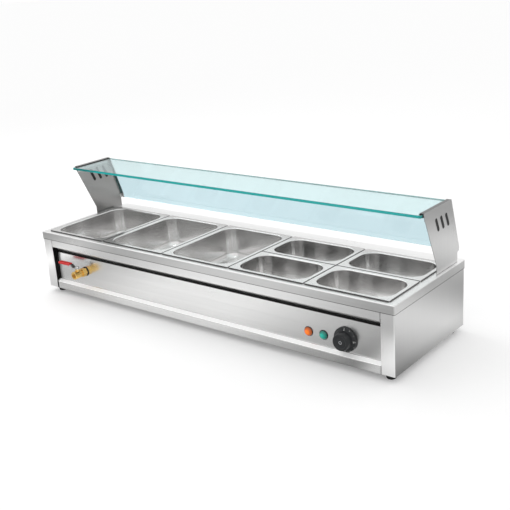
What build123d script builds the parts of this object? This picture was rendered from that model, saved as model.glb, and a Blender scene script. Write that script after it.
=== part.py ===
from build123d import *
from math import atan2, degrees
import os

# Countertop food warmer: a heated water well with seven lift-out pans in five columns and a
# glass guard over the back. X runs left to right, Y front to back, Z up, in millimetres.
# The origin lies on the worktop, under the middle of the body.

# Body
body_length = 1374.0  # over the lips of the cover, left to right
body_depth = 395.0  # over the lips of the cover, front to back
body_height = 199.0  # from the underside of the bottom plate to the top of the cover
sheet = 1.2  # stainless sheet of the body
bend = 2.0  # radius of the folds, at the middle of the sheet
fit_gap = 0.3  # slack between panels that slide over each other
cover_corner = 3.0
cover_edge = 1.5
lip_height = 26.0
flange = 15.0  # width of the hidden folds that carry screws
collar_depth = 12.0

# Front
post_width = 40.0
header_drop = 26.0  # height of the header rail that shows under the lip
header_end_gap = 2.0
shadow_gap = 15.0  # open height between the header rail and the recessed panel
panel_recess = 15.0
panel_return = 5.0
ledge_height = 23.0  # front edge of the sloping ledge above the bottom plate's underside
ledge_rise = 7.0
rail_return = 18.0

# Feet
foot_height = 19.0
foot_top_radius = 16.0
foot_bottom_radius = 13.0
foot_inset_x = 30.0  # from the side of the cover to the middle of the foot
foot_inset_y = 32.0
foot_edge = 1.5
foot_collar = 4.0
foot_recess = 8.0
foot_recess_radius = 8.0

# Pans
pan_pitch = 266.0
pan_columns = 5
half_pan_columns = 3
pan_length = 325.0  # front to back, over the rims of a column
pan_gap = 1.0  # between neighbouring rims
pan_depth = 100.0
pan_sheet = 1.0
pan_rim_width = 13.0
pan_rim_height = 3.0
pan_rim_corner = 8.0
tub_corner = 45.0
tub_taper = 4.0
tub_floor_radius = 22.0
tub_lip_radius = 3.0

# Water well
front_margin = 15.0  # cover strip in front of the pans
rim_seat = 10.0  # how far a pan's rim lies on the cover
well_depth = 134.0  # from the top of the cover to the floor inside
well_sheet = 1.0
well_corner = 12.0
well_fold = 6.0
well_edge_drop = 1.0
slope_top_depth = 78.0  # where the front wall starts to slope back
slope_run = 50.5
bar_width = 16.0
bar_height = 12.0

# Glass guard
guard_inset = 9.25  # from the side of the cover to the outer face of the bracket
guard_sheet = 1.5
guard_rise = 191.0  # from the cover to the top of the bracket
guard_back_margin = 29.0  # from the back of the cover to the foot of the bracket
guard_foot_width = 122.0
guard_upright = 25.0  # height of the upright part at the front of the foot
guard_reach = 75.0  # how far the front edge leans forward
guard_top_width = 158.0
guard_flare = 12.0  # how far the back edge steps out behind the foot
guard_flare_low = 30.0
guard_flare_high = 37.0
guard_corner = 4.0
guard_tongue = 62.0  # length of the bracket below the cover
guard_slot_side = 1.0
rear_flange_width = 10.0
top_flange_width = 12.0
air_slot_length = 40.0
air_slot_width = 8.0
air_slot_pitch = 28.5
air_slot_drop = 50.0  # from the top of the bracket to the middle of the slots
air_slot_front = 54.0  # from the leaning front edge to the middle of the first slot
mount_height = 40.0
mount_length = 90.0
guard_bolt_radius = 2.5
guard_bolt_width = 8.0
guard_bolt_head = 3.5
guard_nut_height = 4.0
guard_bolt_spacing = 50.0

# Glass
shelf_thickness = 8.0
shelf_width = 165.0
shelf_overhang = 10.0  # how far the shelf stands out in front of the brackets
shelf_corner = 3.0
gasket = 1.0
glass_edge = 0.8
support_leg = 12.0
support_setback = 10.0
rear_glass_thickness = 5.0
rear_glass_drop = 5.0  # how far the rear glass reaches below the flare of the bracket
rear_glass_gap = 1.0  # between the rear glass and the rubber under the shelf
clip_width = 18.0
clip_leg = 10.0
upper_clip = 120.0  # from the flare of the bracket up to the upper clip

# Drain valve
valve_from_post = 141.5  # from the left corner post to the valve's axis
valve_height = 98.0  # flow axis above the worktop
valve_length = 49.5
washer_thickness = 2.0
washer_radius = 16.0
hex_width = 27.0
hex_length = 17.0
valve_waist = 10.3
waist_length = 6.0
valve_cone = 5.0  # length over which the body widens from the waist
valve_front_radius = 13.4
pipe_radius = 10.5
pipe_bore = 8.0
pipe_entry = 13.0  # how far the pipe reaches into the valve
valve_bore = 5.0
outlet_radius = 9.3
outlet_depth = 7.5
ball_distance = 31.0  # from the inlet end of the valve to the middle of the ball
ball_radius = 8.5
ball_slack = 0.4
ball_flat = 7.5  # height of the flat on which the stem stands
seat_depth = 9.6  # from the middle of the ball to the far side of each seat
seat_inset = 4.5
boss_radius = 7.5
boss_height = 18.5
stem_radius = 3.5
stem_collar_radius = 5.5
tang_width = 3.0
tang_depth = 1.5
stem_overshoot = 1.5  # stem above the lever's nut
valve_edge = 1.2
lever_lift = 20.0  # underside of the lever above the flow axis
lever_thickness = 2.0
lever_width = 14.0
lever_tail = 10.0
lever_flat = 16.0
lever_ramp = 12.0
lever_rise = 9.0
lever_reach = 85.0
lever_bend = 4.0
sleeve_thickness = 8.0
sleeve_width = 17.0
sleeve_length = 56.0
sleeve_end = 2.0  # rubber in front of the lever's tip
sleeve_edge = 3.0
lever_nut_width = 10.0
lever_nut_height = 5.0

# Controls
knob_from_post = 115.5  # from the right corner post to the knob's axis
knob_height = 87.0  # knob axis above the worktop
knob_clearance = 1.0
skirt_radius = 35.0
skirt_thickness = 5.0
skirt_slope = 3.0  # height of the skirt's cone in front of its edge
grip_radius = 25.0
grip_draft = 1.5
grip_length = 20.0
grip_dish_radius = 18.0
grip_dish = 1.5
knob_edge = 1.2
shaft_radius = 3.0
shaft_entry = 14.0  # how far the shaft reaches into the knob
shaft_seat = 10.0  # how far the shaft reaches into the thermostat
thermostat_width = 42.0
thermostat_height = 36.0
thermostat_length = 28.0
thermostat_corner = 1.5
lamp_height = 83.0
orange_lamp_from_post = 235.5
green_lamp_from_post = 186.5
lens_radius = 12.5
lens_dome = 7.0
bezel_radius = 14.5
bezel_thickness = 2.0
lens_spigot = 8.5
lens_seat = 6.0
lamp_body_radius = 10.5
lamp_body_length = 26.0
snap_radius = 11.8
snap_length = 6.0

# Heating
element_radius = 4.0
element_pitch = 50.0
element_lift = 4.0  # gap between the element and the floor of the well
element_right_margin = 55.0  # from the right end of the well's opening to the ends
element_left_margin = 95.0  # from the left end of the well's opening to the turns
element_turn_inset = 40.0
element_bend = 12.0
element_end_radius = 6.0
element_end_drop = 30.0
element_collar_radius = 9.0
element_collar_height = 3.0
element_nut_width = 19.0
element_nut_height = 6.0
element_support_xs = (-420.0, 30.0, 480.0)
support_width = 12.0
bulb_radius = 3.0
bulb_length = 90.0
bulb_x = 380.0
bulb_y = -60.0
capillary_radius = 1.0
capillary_gap = 11.8  # from the back of the thermostat to where the capillary rises
capillary_bend = 3.0

# Electrical entry
gland_from_side = 85.5  # from the right side panel to the gland's axis
gland_height = 62.0
gland_thread = 10.0
gland_hex = 24.0
gland_bore = 4.5
gland_hex_length = 6.0
gland_dome_radius = 10.5
gland_dome_length = 19.0
gland_dome_edge = 4.0
block_from_side = 125.5
block_y = 120.0
block_length = 60.0
block_width = 22.0
block_height = 16.0
block_ways = 5
block_corner = 2.0
wire_radius = 2.0

# Screws
screw_radius = 2.0
screw_head_radius = 3.8
screw_head_height = 1.4
screw_length = 8.0
rear_screw_margin = 22.0
foot_screw_radius = 2.5
foot_screw_head = 5.5
foot_screw_head_height = 3.0
foot_nut_width = 8.0
foot_nut_height = 4.0

# Cooling slots in the rear panel and the bottom plate
vent_from_side = 165.5  # from each side panel to the middle of a row of slots
vent_height = 110.0
vent_count = 8
vent_pitch = 14.0
vent_length = 50.0
vent_width = 6.0

# Levels and faces that the pieces share
plate_bottom = foot_height
plate_top = plate_bottom + sheet
cover_top = plate_bottom + body_height
cover_under = cover_top - sheet
lip_bottom = cover_top - lip_height
header_bottom = lip_bottom - header_drop
panel_top = header_bottom - shadow_gap
ledge_front_z = plate_bottom + ledge_height
ledge_back_z = ledge_front_z + ledge_rise
body_side = body_length / 2 - sheet - fit_gap
body_front = -body_depth / 2 + sheet + fit_gap
body_back = -body_front
panel_face = body_front + panel_recess
panel_back = panel_face + sheet
opening_edge = body_side - post_width
header_half = opening_edge - header_end_gap
valve_x = valve_from_post - opening_edge
knob_x = opening_edge - knob_from_post
orange_lamp_x = opening_edge - orange_lamp_from_post
green_lamp_x = opening_edge - green_lamp_from_post
gland_x = body_side - gland_from_side
block_x = body_side - block_from_side
vent_x = body_side - vent_from_side
rim_top = cover_top + pan_rim_height
pan_field = pan_pitch * pan_columns
pan_middle_y = -body_depth / 2 + front_margin + pan_length / 2
opening_length = pan_field - 2 * rim_seat
opening_width = pan_length - 2 * rim_seat
element_right = opening_length / 2 - element_right_margin
element_left = element_left_margin - opening_length / 2
well_front = pan_middle_y - opening_width / 2
well_back = pan_middle_y + opening_width / 2
well_floor = cover_top - well_depth
slope_top = cover_top - slope_top_depth
slope_foot = well_front + slope_run
bar_xs = [pan_pitch * (column - pan_columns / 2) for column in range(1, pan_columns)]

os.makedirs("parts", exist_ok=True)


def folded(points, thickness=sheet, radius=bend):
    """Draw the section of a folded sheet, given the middle line of its thickness."""
    with BuildLine() as middle:
        FilletPolyline(*points, radius=radius)
    trace(middle.line, line_width=thickness)


# Top cover: a shallow tray turned upside down, with a collared opening for the pans
guard_outer = body_length / 2 - guard_inset
guard_middle_x = guard_outer - guard_sheet / 2
guard_foot_back = body_depth / 2 - guard_back_margin
guard_foot_front = guard_foot_back - guard_foot_width
guard_foot_middle = (guard_foot_front + guard_foot_back) / 2

with BuildPart() as top_cover:
    with BuildSketch(Plane.XY.offset(cover_top)):
        RectangleRounded(body_length, body_depth, cover_corner)
    extrude(amount=-lip_height)
    fillet(top_cover.faces().sort_by(Axis.Z)[-1].edges(), cover_edge)
    with BuildSketch(Plane.XY.offset(cover_under)):
        RectangleRounded(body_length - 2 * sheet, body_depth - 2 * sheet, cover_corner - sheet)
    extrude(amount=-lip_height, mode=Mode.SUBTRACT)
    with BuildSketch(Plane((0, pan_middle_y, cover_under))):
        RectangleRounded(opening_length + 2 * sheet, opening_width + 2 * sheet, well_corner + sheet)
    extrude(amount=-(collar_depth - sheet))
    with BuildSketch(Plane((0, pan_middle_y, cover_top))):
        RectangleRounded(opening_length, opening_width, well_corner)
    extrude(amount=-collar_depth, mode=Mode.SUBTRACT)
    with BuildSketch(Plane((0, guard_foot_middle, cover_top))):
        with Locations((-guard_middle_x, 0), (guard_middle_x, 0)):
            Rectangle(guard_sheet + 2 * guard_slot_side, guard_foot_width + 2 * guard_slot_side)
    extrude(amount=-sheet, mode=Mode.SUBTRACT)
top_cover.part.label = "top_cover"
export_step(top_cover.part, "parts/top_cover.step")

# Water well: a folded tank whose front wall slopes back at the bottom, clear of the controls
slope_vector = Vector(0, slope_run, well_floor - well_sheet - slope_top).normalized()
slope_normal = Vector(0, slope_vector.Z, -slope_vector.Y)
slope_plane = Plane(origin=(0, well_front, slope_top), x_dir=(1, 0, 0), z_dir=slope_normal)
element_middle_y = pan_middle_y
element_rows = [element_middle_y + element_pitch * row for row in (-1.5, -0.5, 0.5, 1.5)]

with BuildPart() as water_well:
    with BuildSketch(Plane.YZ.offset(-opening_length / 2)):
        with BuildLine():
            Polyline(
                (well_front, cover_top - well_edge_drop),
                (well_back, cover_top - well_edge_drop),
                (well_back, well_floor - well_sheet),
                (slope_foot, well_floor - well_sheet),
                (well_front, slope_top),
                close=True,
            )
        make_face()
    extrude(amount=opening_length)
    fillet(water_well.edges().filter_by(Axis.Z), well_corner)
    tank_mouth = water_well.faces().sort_by(Axis.Z)[-1]
    offset(amount=-well_sheet, openings=tank_mouth)
    with BuildSketch(Plane((0, 0, well_floor))):
        with Locations((element_right, element_rows[0]), (element_right, element_rows[-1])):
            Circle(element_end_radius + fit_gap)
    extrude(amount=-2 * well_sheet, mode=Mode.SUBTRACT)
    with BuildSketch(Plane((valve_x, well_front, valve_height), x_dir=(1, 0, 0), z_dir=(0, 1, 0))):
        Circle(pipe_bore)
    extrude(amount=slope_run, mode=Mode.SUBTRACT)
water_well.part.label = "water_well"
export_step(water_well.part, "parts/water_well.step")

# Bars under the joints between the pans: inverted channels welded across the well
bar_plane = Plane.XZ.offset(-(well_back - well_sheet))
bar_span = opening_width - 2 * well_sheet
half_bar = bar_width / 2

with BuildPart() as divider_bars:
    with BuildSketch(bar_plane):
        with Locations(*[(x, cover_top) for x in bar_xs]):
            Rectangle(bar_width, bar_height, align=(Align.CENTER, Align.MAX))
        with Locations(*[(x, cover_top - sheet) for x in bar_xs]):
            Rectangle(
                bar_width - 2 * sheet, bar_height, align=(Align.CENTER, Align.MAX), mode=Mode.SUBTRACT
            )
    extrude(amount=bar_span)
divider_bars.part.label = "divider_bars"
export_step(divider_bars.part, "parts/divider_bars.step")

# Short bars under the joints between the front and rear quarter pans
cross_starts = [x + half_bar for x in bar_xs[half_pan_columns - 1 :]]
cross_ends = [x - half_bar for x in bar_xs[half_pan_columns:]] + [opening_length / 2 - well_sheet]

with BuildPart() as cross_bars:
    for start, end in zip(cross_starts, cross_ends):
        with BuildSketch(Plane.YZ.offset(start)):
            with Locations((pan_middle_y, cover_top)):
                Rectangle(bar_width, bar_height, align=(Align.CENTER, Align.MAX))
            with Locations((pan_middle_y, cover_top - sheet)):
                Rectangle(
                    bar_width - 2 * sheet, bar_height, align=(Align.CENTER, Align.MAX), mode=Mode.SUBTRACT
                )
        extrude(amount=end - start)
cross_bars.part.label = "cross_bars"
export_step(cross_bars.part, "parts/cross_bars.step")


# Pans: deep-drawn tubs with tapered walls, a rounded floor and a rim turned down at its edge
def make_tub(size_x, size_y, corner, depth, floor_radius, x, y):
    """Make a tapered block with rounded corners and a rounded floor, hanging from the rim's level."""
    with BuildPart() as tub:
        with BuildSketch(Plane((x, y, rim_top))):
            RectangleRounded(size_x, size_y, corner)
        extrude(amount=-depth, taper=tub_taper)
        fillet(tub.faces().sort_by(Axis.Z)[0].edges(), floor_radius)
    return tub.part


def make_pan(name, size_x, size_y, x, y):
    """Make one food pan whose rim is centred on x and y."""
    tub_x = size_x - 2 * pan_rim_width
    tub_y = size_y - 2 * pan_rim_width
    outside = make_tub(tub_x, tub_y, tub_corner, pan_depth, tub_floor_radius + pan_sheet, x, y)
    inside = make_tub(
        tub_x - 2 * pan_sheet,
        tub_y - 2 * pan_sheet,
        tub_corner - pan_sheet,
        pan_depth - pan_sheet,
        tub_floor_radius,
        x,
        y,
    )
    with BuildPart() as pan:
        with BuildSketch(Plane((x, y, rim_top))):
            RectangleRounded(size_x, size_y, pan_rim_corner)
        extrude(amount=-pan_rim_height)
        with BuildSketch(Plane((x, y, rim_top - pan_sheet))):
            RectangleRounded(
                size_x - 2 * pan_sheet, size_y - 2 * pan_sheet, pan_rim_corner - pan_sheet
            )
        extrude(amount=-pan_rim_height, mode=Mode.SUBTRACT)
        fillet(pan.faces().sort_by(Axis.Z)[-1].edges(), pan_sheet / 2)
        add(outside)
        rim_underside = rim_top - pan_sheet
        under_rim = pan.edges().filter_by_position(Axis.Z, rim_underside - 0.01, rim_underside + 0.01)
        tub_seam = [
            edge
            for edge in under_rim
            if abs(edge.center().X - x) < tub_x / 2 + 0.01 and abs(edge.center().Y - y) < tub_y / 2 + 0.01
        ]
        fillet(tub_seam, tub_lip_radius + pan_sheet)
        add(inside, mode=Mode.SUBTRACT)
        mouth = pan.faces().sort_by(Axis.Z)[-1].inner_wires()[0]
        fillet(mouth.edges(), tub_lip_radius)
    pan.part.label = name
    export_step(pan.part, f"parts/{name}.step")


rim_x = pan_pitch - pan_gap
rim_y = pan_length - pan_gap
quarter_y = rim_y / 2 - pan_gap / 2
column_xs = [pan_pitch * (column - (pan_columns - 1) / 2) for column in range(pan_columns)]

for number, x in enumerate(column_xs[:half_pan_columns], start=1):
    make_pan(f"half_pan_{number}", rim_x, rim_y, x, pan_middle_y)
for number, x in enumerate(column_xs[half_pan_columns:], start=half_pan_columns + 1):
    for place, side in (("front", -1), ("rear", 1)):
        pan_y = pan_middle_y + side * (quarter_y + pan_gap) / 2
        make_pan(f"quarter_pan_{number}_{place}", rim_x, quarter_y, x, pan_y)


# Places of the screws that hold the rear panel
screw_x = body_side - flange / 2
low_screw = plate_top + rear_screw_margin
high_screw = lip_bottom - rear_screw_margin
screw_zs = [low_screw, (low_screw + high_screw) / 2, high_screw]


# Side panels: folded sheets, each with the front corner post, a rear flange and a bottom flange
def make_side_panel(name, side):
    """Make the panel on one side, -1 for the left and 1 for the right."""
    wall_x = side * (body_side - sheet / 2)
    front_y = body_front + sheet / 2
    back_y = body_back - sheet / 2
    with BuildPart() as panel:
        with BuildSketch(Plane.XY.offset(plate_top)):
            folded(
                [
                    (side * opening_edge, front_y),
                    (wall_x, front_y),
                    (wall_x, back_y),
                    (wall_x - side * flange, back_y),
                ]
            )
        extrude(amount=cover_under - plate_top)
        with BuildSketch(Plane.XZ.offset(-(body_back - bend - sheet))):
            folded(
                [
                    (wall_x, plate_top + flange),
                    (wall_x, plate_top + sheet / 2),
                    (wall_x - side * flange, plate_top + sheet / 2),
                ]
            )
        extrude(amount=body_back - body_front - 2 * (bend + sheet))
        with BuildSketch(Plane.XZ.offset(-body_back)):
            with Locations(*[(side * screw_x, z) for z in screw_zs]):
                Circle(screw_radius + fit_gap)
        extrude(amount=sheet, mode=Mode.SUBTRACT)
    panel.part.label = name
    export_step(panel.part, f"parts/{name}.step")


make_side_panel("left_side_panel", -1)
make_side_panel("right_side_panel", 1)

# Header rail: a folded strip between the posts, hung from the underside of the cover
with BuildPart() as header_rail:
    with BuildSketch(Plane.YZ.offset(-header_half)):
        folded(
            [
                (body_front + sheet / 2, cover_under),
                (body_front + sheet / 2, header_bottom + sheet / 2),
                (body_front + flange, header_bottom + sheet / 2),
            ]
        )
    extrude(amount=2 * header_half)
header_rail.part.label = "header_rail"
export_step(header_rail.part, "parts/header_rail.step")

# Front panel: one sheet folded into the recessed face, the sloping ledge and the bottom rail
with BuildPart() as front_panel:
    with BuildSketch(Plane.YZ.offset(-header_half)):
        folded(
            [
                (panel_face + panel_return, panel_top - sheet / 2),
                (panel_face + sheet / 2, panel_top - sheet / 2),
                (panel_face + sheet / 2, ledge_back_z),
                (body_front + sheet / 2, ledge_front_z),
                (body_front + sheet / 2, plate_bottom - sheet / 2),
                (body_front + rail_return, plate_bottom - sheet / 2),
            ]
        )
    extrude(amount=2 * header_half)
    with BuildSketch(Plane.XZ.offset(-panel_back)):
        with Locations((valve_x, valve_height)):
            Circle(pipe_radius + fit_gap)
        with Locations((knob_x, knob_height)):
            Circle(shaft_radius + 1)
        with Locations((orange_lamp_x, lamp_height), (green_lamp_x, lamp_height)):
            Circle(lamp_body_radius + fit_gap)
    extrude(amount=2 * sheet, both=True, mode=Mode.SUBTRACT)
front_panel.part.label = "front_panel"
export_step(front_panel.part, "parts/front_panel.step")

# Rear panel: a flat sheet inside the rear flanges of the side panels, with cooling slots
rear_face = body_back - sheet
rear_half = body_side - sheet - bend

with BuildPart() as rear_panel:
    with BuildSketch(Plane.XZ.offset(-rear_face)):
        with Locations((0, plate_top)):
            Rectangle(2 * rear_half, cover_under - plate_top, align=(Align.CENTER, Align.MIN))
        with Locations((vent_x, vent_height), (-vent_x, vent_height)):
            with GridLocations(vent_pitch, 1, vent_count, 1):
                SlotOverall(vent_length, vent_width, rotation=90, mode=Mode.SUBTRACT)
        with Locations((gland_x, gland_height)):
            Circle(gland_thread + fit_gap, mode=Mode.SUBTRACT)
        with Locations(*[(side * screw_x, z) for side in (-1, 1) for z in screw_zs]):
            Circle(screw_radius + fit_gap, mode=Mode.SUBTRACT)
    extrude(amount=sheet)
rear_panel.part.label = "rear_panel"
export_step(rear_panel.part, "parts/rear_panel.step")

# Screws that hold the rear panel to the side panels' flanges
with BuildPart() as rear_panel_screws:
    with BuildSketch(Plane.XZ.offset(-body_back)):
        with Locations(*[(side * screw_x, z) for side in (-1, 1) for z in screw_zs]):
            Circle(screw_head_radius)
    extrude(amount=-screw_head_height)
    fillet(rear_panel_screws.faces().sort_by(Axis.Y)[-6:].edges(), screw_head_height / 2)
    with BuildSketch(Plane.XZ.offset(-body_back)):
        with Locations(*[(side * screw_x, z) for side in (-1, 1) for z in screw_zs]):
            Circle(screw_radius)
    extrude(amount=screw_length)
rear_panel_screws.part.label = "rear_panel_screws"
export_step(rear_panel_screws.part, "parts/rear_panel_screws.step")

# Bottom plate: closes the body, carries the feet and folds up behind the rear panel
foot_x = body_length / 2 - foot_inset_x
foot_y = body_depth / 2 - foot_inset_y
plate_front = body_front + sheet + bend
fold_y = rear_face - sheet - sheet / 2

with BuildPart() as bottom_plate:
    with BuildSketch(Plane.XY.offset(plate_bottom)):
        with Locations((0, (plate_front + body_back) / 2)):
            Rectangle(2 * body_side, body_back - plate_front)
        with GridLocations(2 * foot_x, 2 * foot_y, 2, 2):
            Circle(foot_screw_radius + fit_gap, mode=Mode.SUBTRACT)
        with Locations((vent_x, 0), (-vent_x, 0)):
            with GridLocations(vent_pitch, 1, vent_count, 1):
                SlotOverall(vent_length, vent_width, rotation=90, mode=Mode.SUBTRACT)
    extrude(amount=sheet)
    with BuildSketch(Plane.YZ.offset(-(rear_half - flange))):
        with Locations((fold_y, plate_bottom)):
            Rectangle(sheet, flange, align=(Align.CENTER, Align.MIN))
    extrude(amount=2 * (rear_half - flange))
bottom_plate.part.label = "bottom_plate"
export_step(bottom_plate.part, "parts/bottom_plate.step")


# Feet: tapered rubber pads, each recessed below for its screw
def make_foot(name, x, y):
    """Make one foot whose axis stands at x and y."""
    with BuildPart() as foot:
        with BuildSketch(Plane(origin=(x, y, 0), x_dir=(1, 0, 0), z_dir=(0, -1, 0))):
            with BuildLine():
                Polyline(
                    (foot_recess_radius, 0),
                    (foot_bottom_radius - foot_edge, 0),
                    (foot_bottom_radius, foot_edge),
                    (foot_top_radius, foot_height - foot_collar),
                    (foot_top_radius, foot_height),
                    (foot_screw_radius + fit_gap, foot_height),
                    (foot_screw_radius + fit_gap, foot_recess),
                    (foot_recess_radius, foot_recess),
                    close=True,
                )
            make_face()
        revolve(axis=Axis((x, y, 0), (0, 0, 1)))
    foot.part.label = name
    export_step(foot.part, f"parts/{name}.step")


for end, y in (("front", -foot_y), ("rear", foot_y)):
    for side, x in (("left", -foot_x), ("right", foot_x)):
        make_foot(f"{end}_{side}_foot", x, y)

with BuildPart() as foot_screws:
    with BuildSketch(Plane.XY.offset(foot_recess)):
        with GridLocations(2 * foot_x, 2 * foot_y, 2, 2):
            Circle(foot_screw_head)
    extrude(amount=-foot_screw_head_height)
    with BuildSketch(Plane.XY.offset(foot_recess)):
        with GridLocations(2 * foot_x, 2 * foot_y, 2, 2):
            Circle(foot_screw_radius)
    extrude(amount=plate_top + foot_nut_height + sheet - foot_recess)
foot_screws.part.label = "foot_screws"
export_step(foot_screws.part, "parts/foot_screws.step")

with BuildPart() as foot_nuts:
    with BuildSketch(Plane.XY.offset(plate_top)):
        with GridLocations(2 * foot_x, 2 * foot_y, 2, 2):
            RegularPolygon(foot_nut_width / 2, 6, major_radius=False)
            Circle(foot_screw_radius + fit_gap / 2, mode=Mode.SUBTRACT)
    extrude(amount=foot_nut_height)
foot_nuts.part.label = "foot_nuts"
export_step(foot_nuts.part, "parts/foot_nuts.step")

# Guard: places that the brackets, the two glasses and their holders share
guard_top = cover_top + guard_rise
guard_inner = guard_outer - guard_sheet
guard_front_top = guard_foot_front - guard_reach
guard_back_top = guard_front_top + guard_top_width
flare_point = Vector(guard_foot_back + guard_flare, cover_top + guard_flare_high)
back_edge = Vector(guard_back_top, guard_top) - flare_point
along_back = back_edge.normalized()
into_guard = Vector(-along_back.Y, along_back.X)
front_lean = degrees(atan2(guard_rise - guard_upright, -guard_reach))
air_slot_z = guard_top - air_slot_drop
air_slot_y = guard_front_top + guard_reach * air_slot_drop / (guard_rise - guard_upright) + air_slot_front
bolt_z = cover_top - guard_tongue + mount_height / 2
bolt_ys = [guard_foot_middle - guard_bolt_spacing / 2, guard_foot_middle + guard_bolt_spacing / 2]
glass_top = guard_top - guard_sheet - gasket
glass_bottom = glass_top - shelf_thickness
shelf_front = guard_front_top - shelf_overhang
shelf_middle_y = shelf_front + shelf_width / 2


def guard_point(distance, depth):
    """Give a point by its distance up the bracket's back edge and its depth in front of that edge."""
    point = flare_point + along_back * distance + into_guard * depth
    return (point.X, point.Y)


def guard_strip(start, end, outer, inner):
    """Draw a strip that runs along the bracket's back edge."""
    with BuildLine() as edge:
        Polyline(
            guard_point(start, outer),
            guard_point(end, outer),
            guard_point(end, inner),
            guard_point(start, inner),
            close=True,
        )
    make_face(edge.line)


# Guard brackets: one bent plate at each side, with a rear flange, a top flange and a tongue
def make_guard_bracket(name, side):
    """Make the bracket on one side, -1 for the left and 1 for the right."""
    outer_plane = Plane.YZ.offset(side * guard_outer)
    with BuildPart() as bracket:
        with BuildSketch(outer_plane) as outline:
            with BuildLine():
                Polyline(
                    (guard_foot_front, cover_top - guard_tongue),
                    (guard_foot_front, cover_top + guard_upright),
                    (guard_front_top, guard_top),
                    (guard_back_top, guard_top),
                    (flare_point.X, flare_point.Y),
                    (guard_foot_back, cover_top + guard_flare_low),
                    (guard_foot_back, cover_top - guard_tongue),
                    close=True,
                )
            make_face()
            fillet(outline.vertices(), guard_corner)
            with Locations(*[(air_slot_y + air_slot_pitch * slot, air_slot_z) for slot in range(3)]):
                SlotOverall(air_slot_length, air_slot_width, rotation=front_lean, mode=Mode.SUBTRACT)
            with Locations(*[(y, bolt_z) for y in bolt_ys]):
                Circle(guard_bolt_radius + fit_gap, mode=Mode.SUBTRACT)
        extrude(amount=-side * guard_sheet)
        with BuildSketch(outer_plane):
            guard_strip(guard_corner, back_edge.length - guard_corner, 0, guard_sheet)
        extrude(amount=-side * rear_flange_width)
        with BuildSketch(outer_plane):
            with Locations(((guard_front_top + guard_back_top) / 2, guard_top)):
                Rectangle(guard_top_width - 2 * guard_corner, guard_sheet, align=(Align.CENTER, Align.MAX))
        extrude(amount=-side * top_flange_width)
    bracket.part.label = name
    export_step(bracket.part, f"parts/{name}.step")


# Guard mounts: channels on the inside of the side panels, to which the tongues are bolted
def make_guard_mount(name, side):
    """Make the channel on one side, -1 for the left and 1 for the right."""
    wall_x = side * (body_side - sheet)
    web_x = side * (guard_outer + sheet / 2)
    low_z = bolt_z - mount_height / 2 + sheet / 2
    high_z = bolt_z + mount_height / 2 - sheet / 2
    with BuildPart() as mount:
        with BuildSketch(Plane.XZ.offset(-(guard_foot_middle + mount_length / 2))):
            folded([(wall_x, low_z), (web_x, low_z), (web_x, high_z), (wall_x, high_z)])
        extrude(amount=mount_length)
        with BuildSketch(Plane.YZ.offset(side * guard_outer)):
            with Locations(*[(y, bolt_z) for y in bolt_ys]):
                Circle(guard_bolt_radius + fit_gap)
        extrude(amount=side * sheet, mode=Mode.SUBTRACT)
    mount.part.label = name
    export_step(mount.part, f"parts/{name}.step")


# Shelf supports: angle strips welded inside the brackets, under the ends of the shelf
def make_shelf_support(name, side):
    """Make the angle strip on one side, -1 for the left and 1 for the right."""
    strip_top = glass_bottom - gasket
    wall_x = side * (guard_inner - sheet / 2)
    with BuildPart() as support:
        with BuildSketch(Plane.XZ.offset(-(guard_back_top - support_setback))):
            folded(
                [
                    (wall_x, strip_top - support_leg),
                    (wall_x, strip_top - sheet / 2),
                    (wall_x - side * support_leg, strip_top - sheet / 2),
                ]
            )
        extrude(amount=guard_top_width - 2 * support_setback)
    support.part.label = name
    export_step(support.part, f"parts/{name}.step")


# Glass channels: rubber strips of U section round the ends of the shelf
def make_glass_channel(name, side):
    """Make the rubber strip on one side, -1 for the left and 1 for the right."""
    with BuildPart() as channel:
        with BuildSketch(Plane.XZ.offset(-(shelf_front + shelf_width))):
            with Locations((side * guard_inner, glass_bottom - gasket)):
                Rectangle(
                    top_flange_width,
                    shelf_thickness + 2 * gasket,
                    align=(Align.MAX if side > 0 else Align.MIN, Align.MIN),
                )
            with Locations((side * (guard_inner - gasket), glass_bottom)):
                Rectangle(
                    top_flange_width,
                    shelf_thickness,
                    align=(Align.MAX if side > 0 else Align.MIN, Align.MIN),
                    mode=Mode.SUBTRACT,
                )
        extrude(amount=shelf_width - shelf_overhang)
    channel.part.label = name
    export_step(channel.part, f"parts/{name}.step")


for side_name, side in (("left", -1), ("right", 1)):
    make_guard_bracket(f"{side_name}_guard_bracket", side)
    make_guard_mount(f"{side_name}_guard_mount", side)
    make_shelf_support(f"{side_name}_shelf_support", side)
    make_glass_channel(f"{side_name}_glass_channel", side)

# Shelf glass: a flat pane with ground edges, lying on the supports at both ends
with BuildPart() as shelf_glass:
    with BuildSketch(Plane((0, shelf_middle_y, glass_bottom))):
        RectangleRounded(2 * (guard_inner - gasket), shelf_width, shelf_corner)
    extrude(amount=shelf_thickness)
    chamfer(shelf_glass.edges().filter_by(Axis.X), glass_edge)
shelf_glass.part.label = "shelf_glass"
export_step(shelf_glass.part, "parts/shelf_glass.step")

# Rear glass: a leaning pane in front of the rear flanges of the brackets
rear_glass_half = guard_inner - fit_gap
rear_glass_front = guard_sheet + rear_glass_thickness
rear_glass_top = glass_bottom - gasket - rear_glass_gap
rear_glass_end = (rear_glass_top - flare_point.Y - into_guard.Y * guard_sheet) / along_back.Y

with BuildPart() as rear_glass:
    with BuildSketch(Plane.YZ.offset(-rear_glass_half)):
        guard_strip(-rear_glass_drop, rear_glass_end, guard_sheet, rear_glass_front)
    extrude(amount=2 * rear_glass_half)
rear_glass.part.label = "rear_glass"
export_step(rear_glass.part, "parts/rear_glass.step")

# Glass clips: small angles on the brackets; the lower ones also carry the rear glass
lower_clip = -rear_glass_drop - sheet
clip_front = rear_glass_front + sheet
clip_back = guard_sheet + fit_gap

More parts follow.
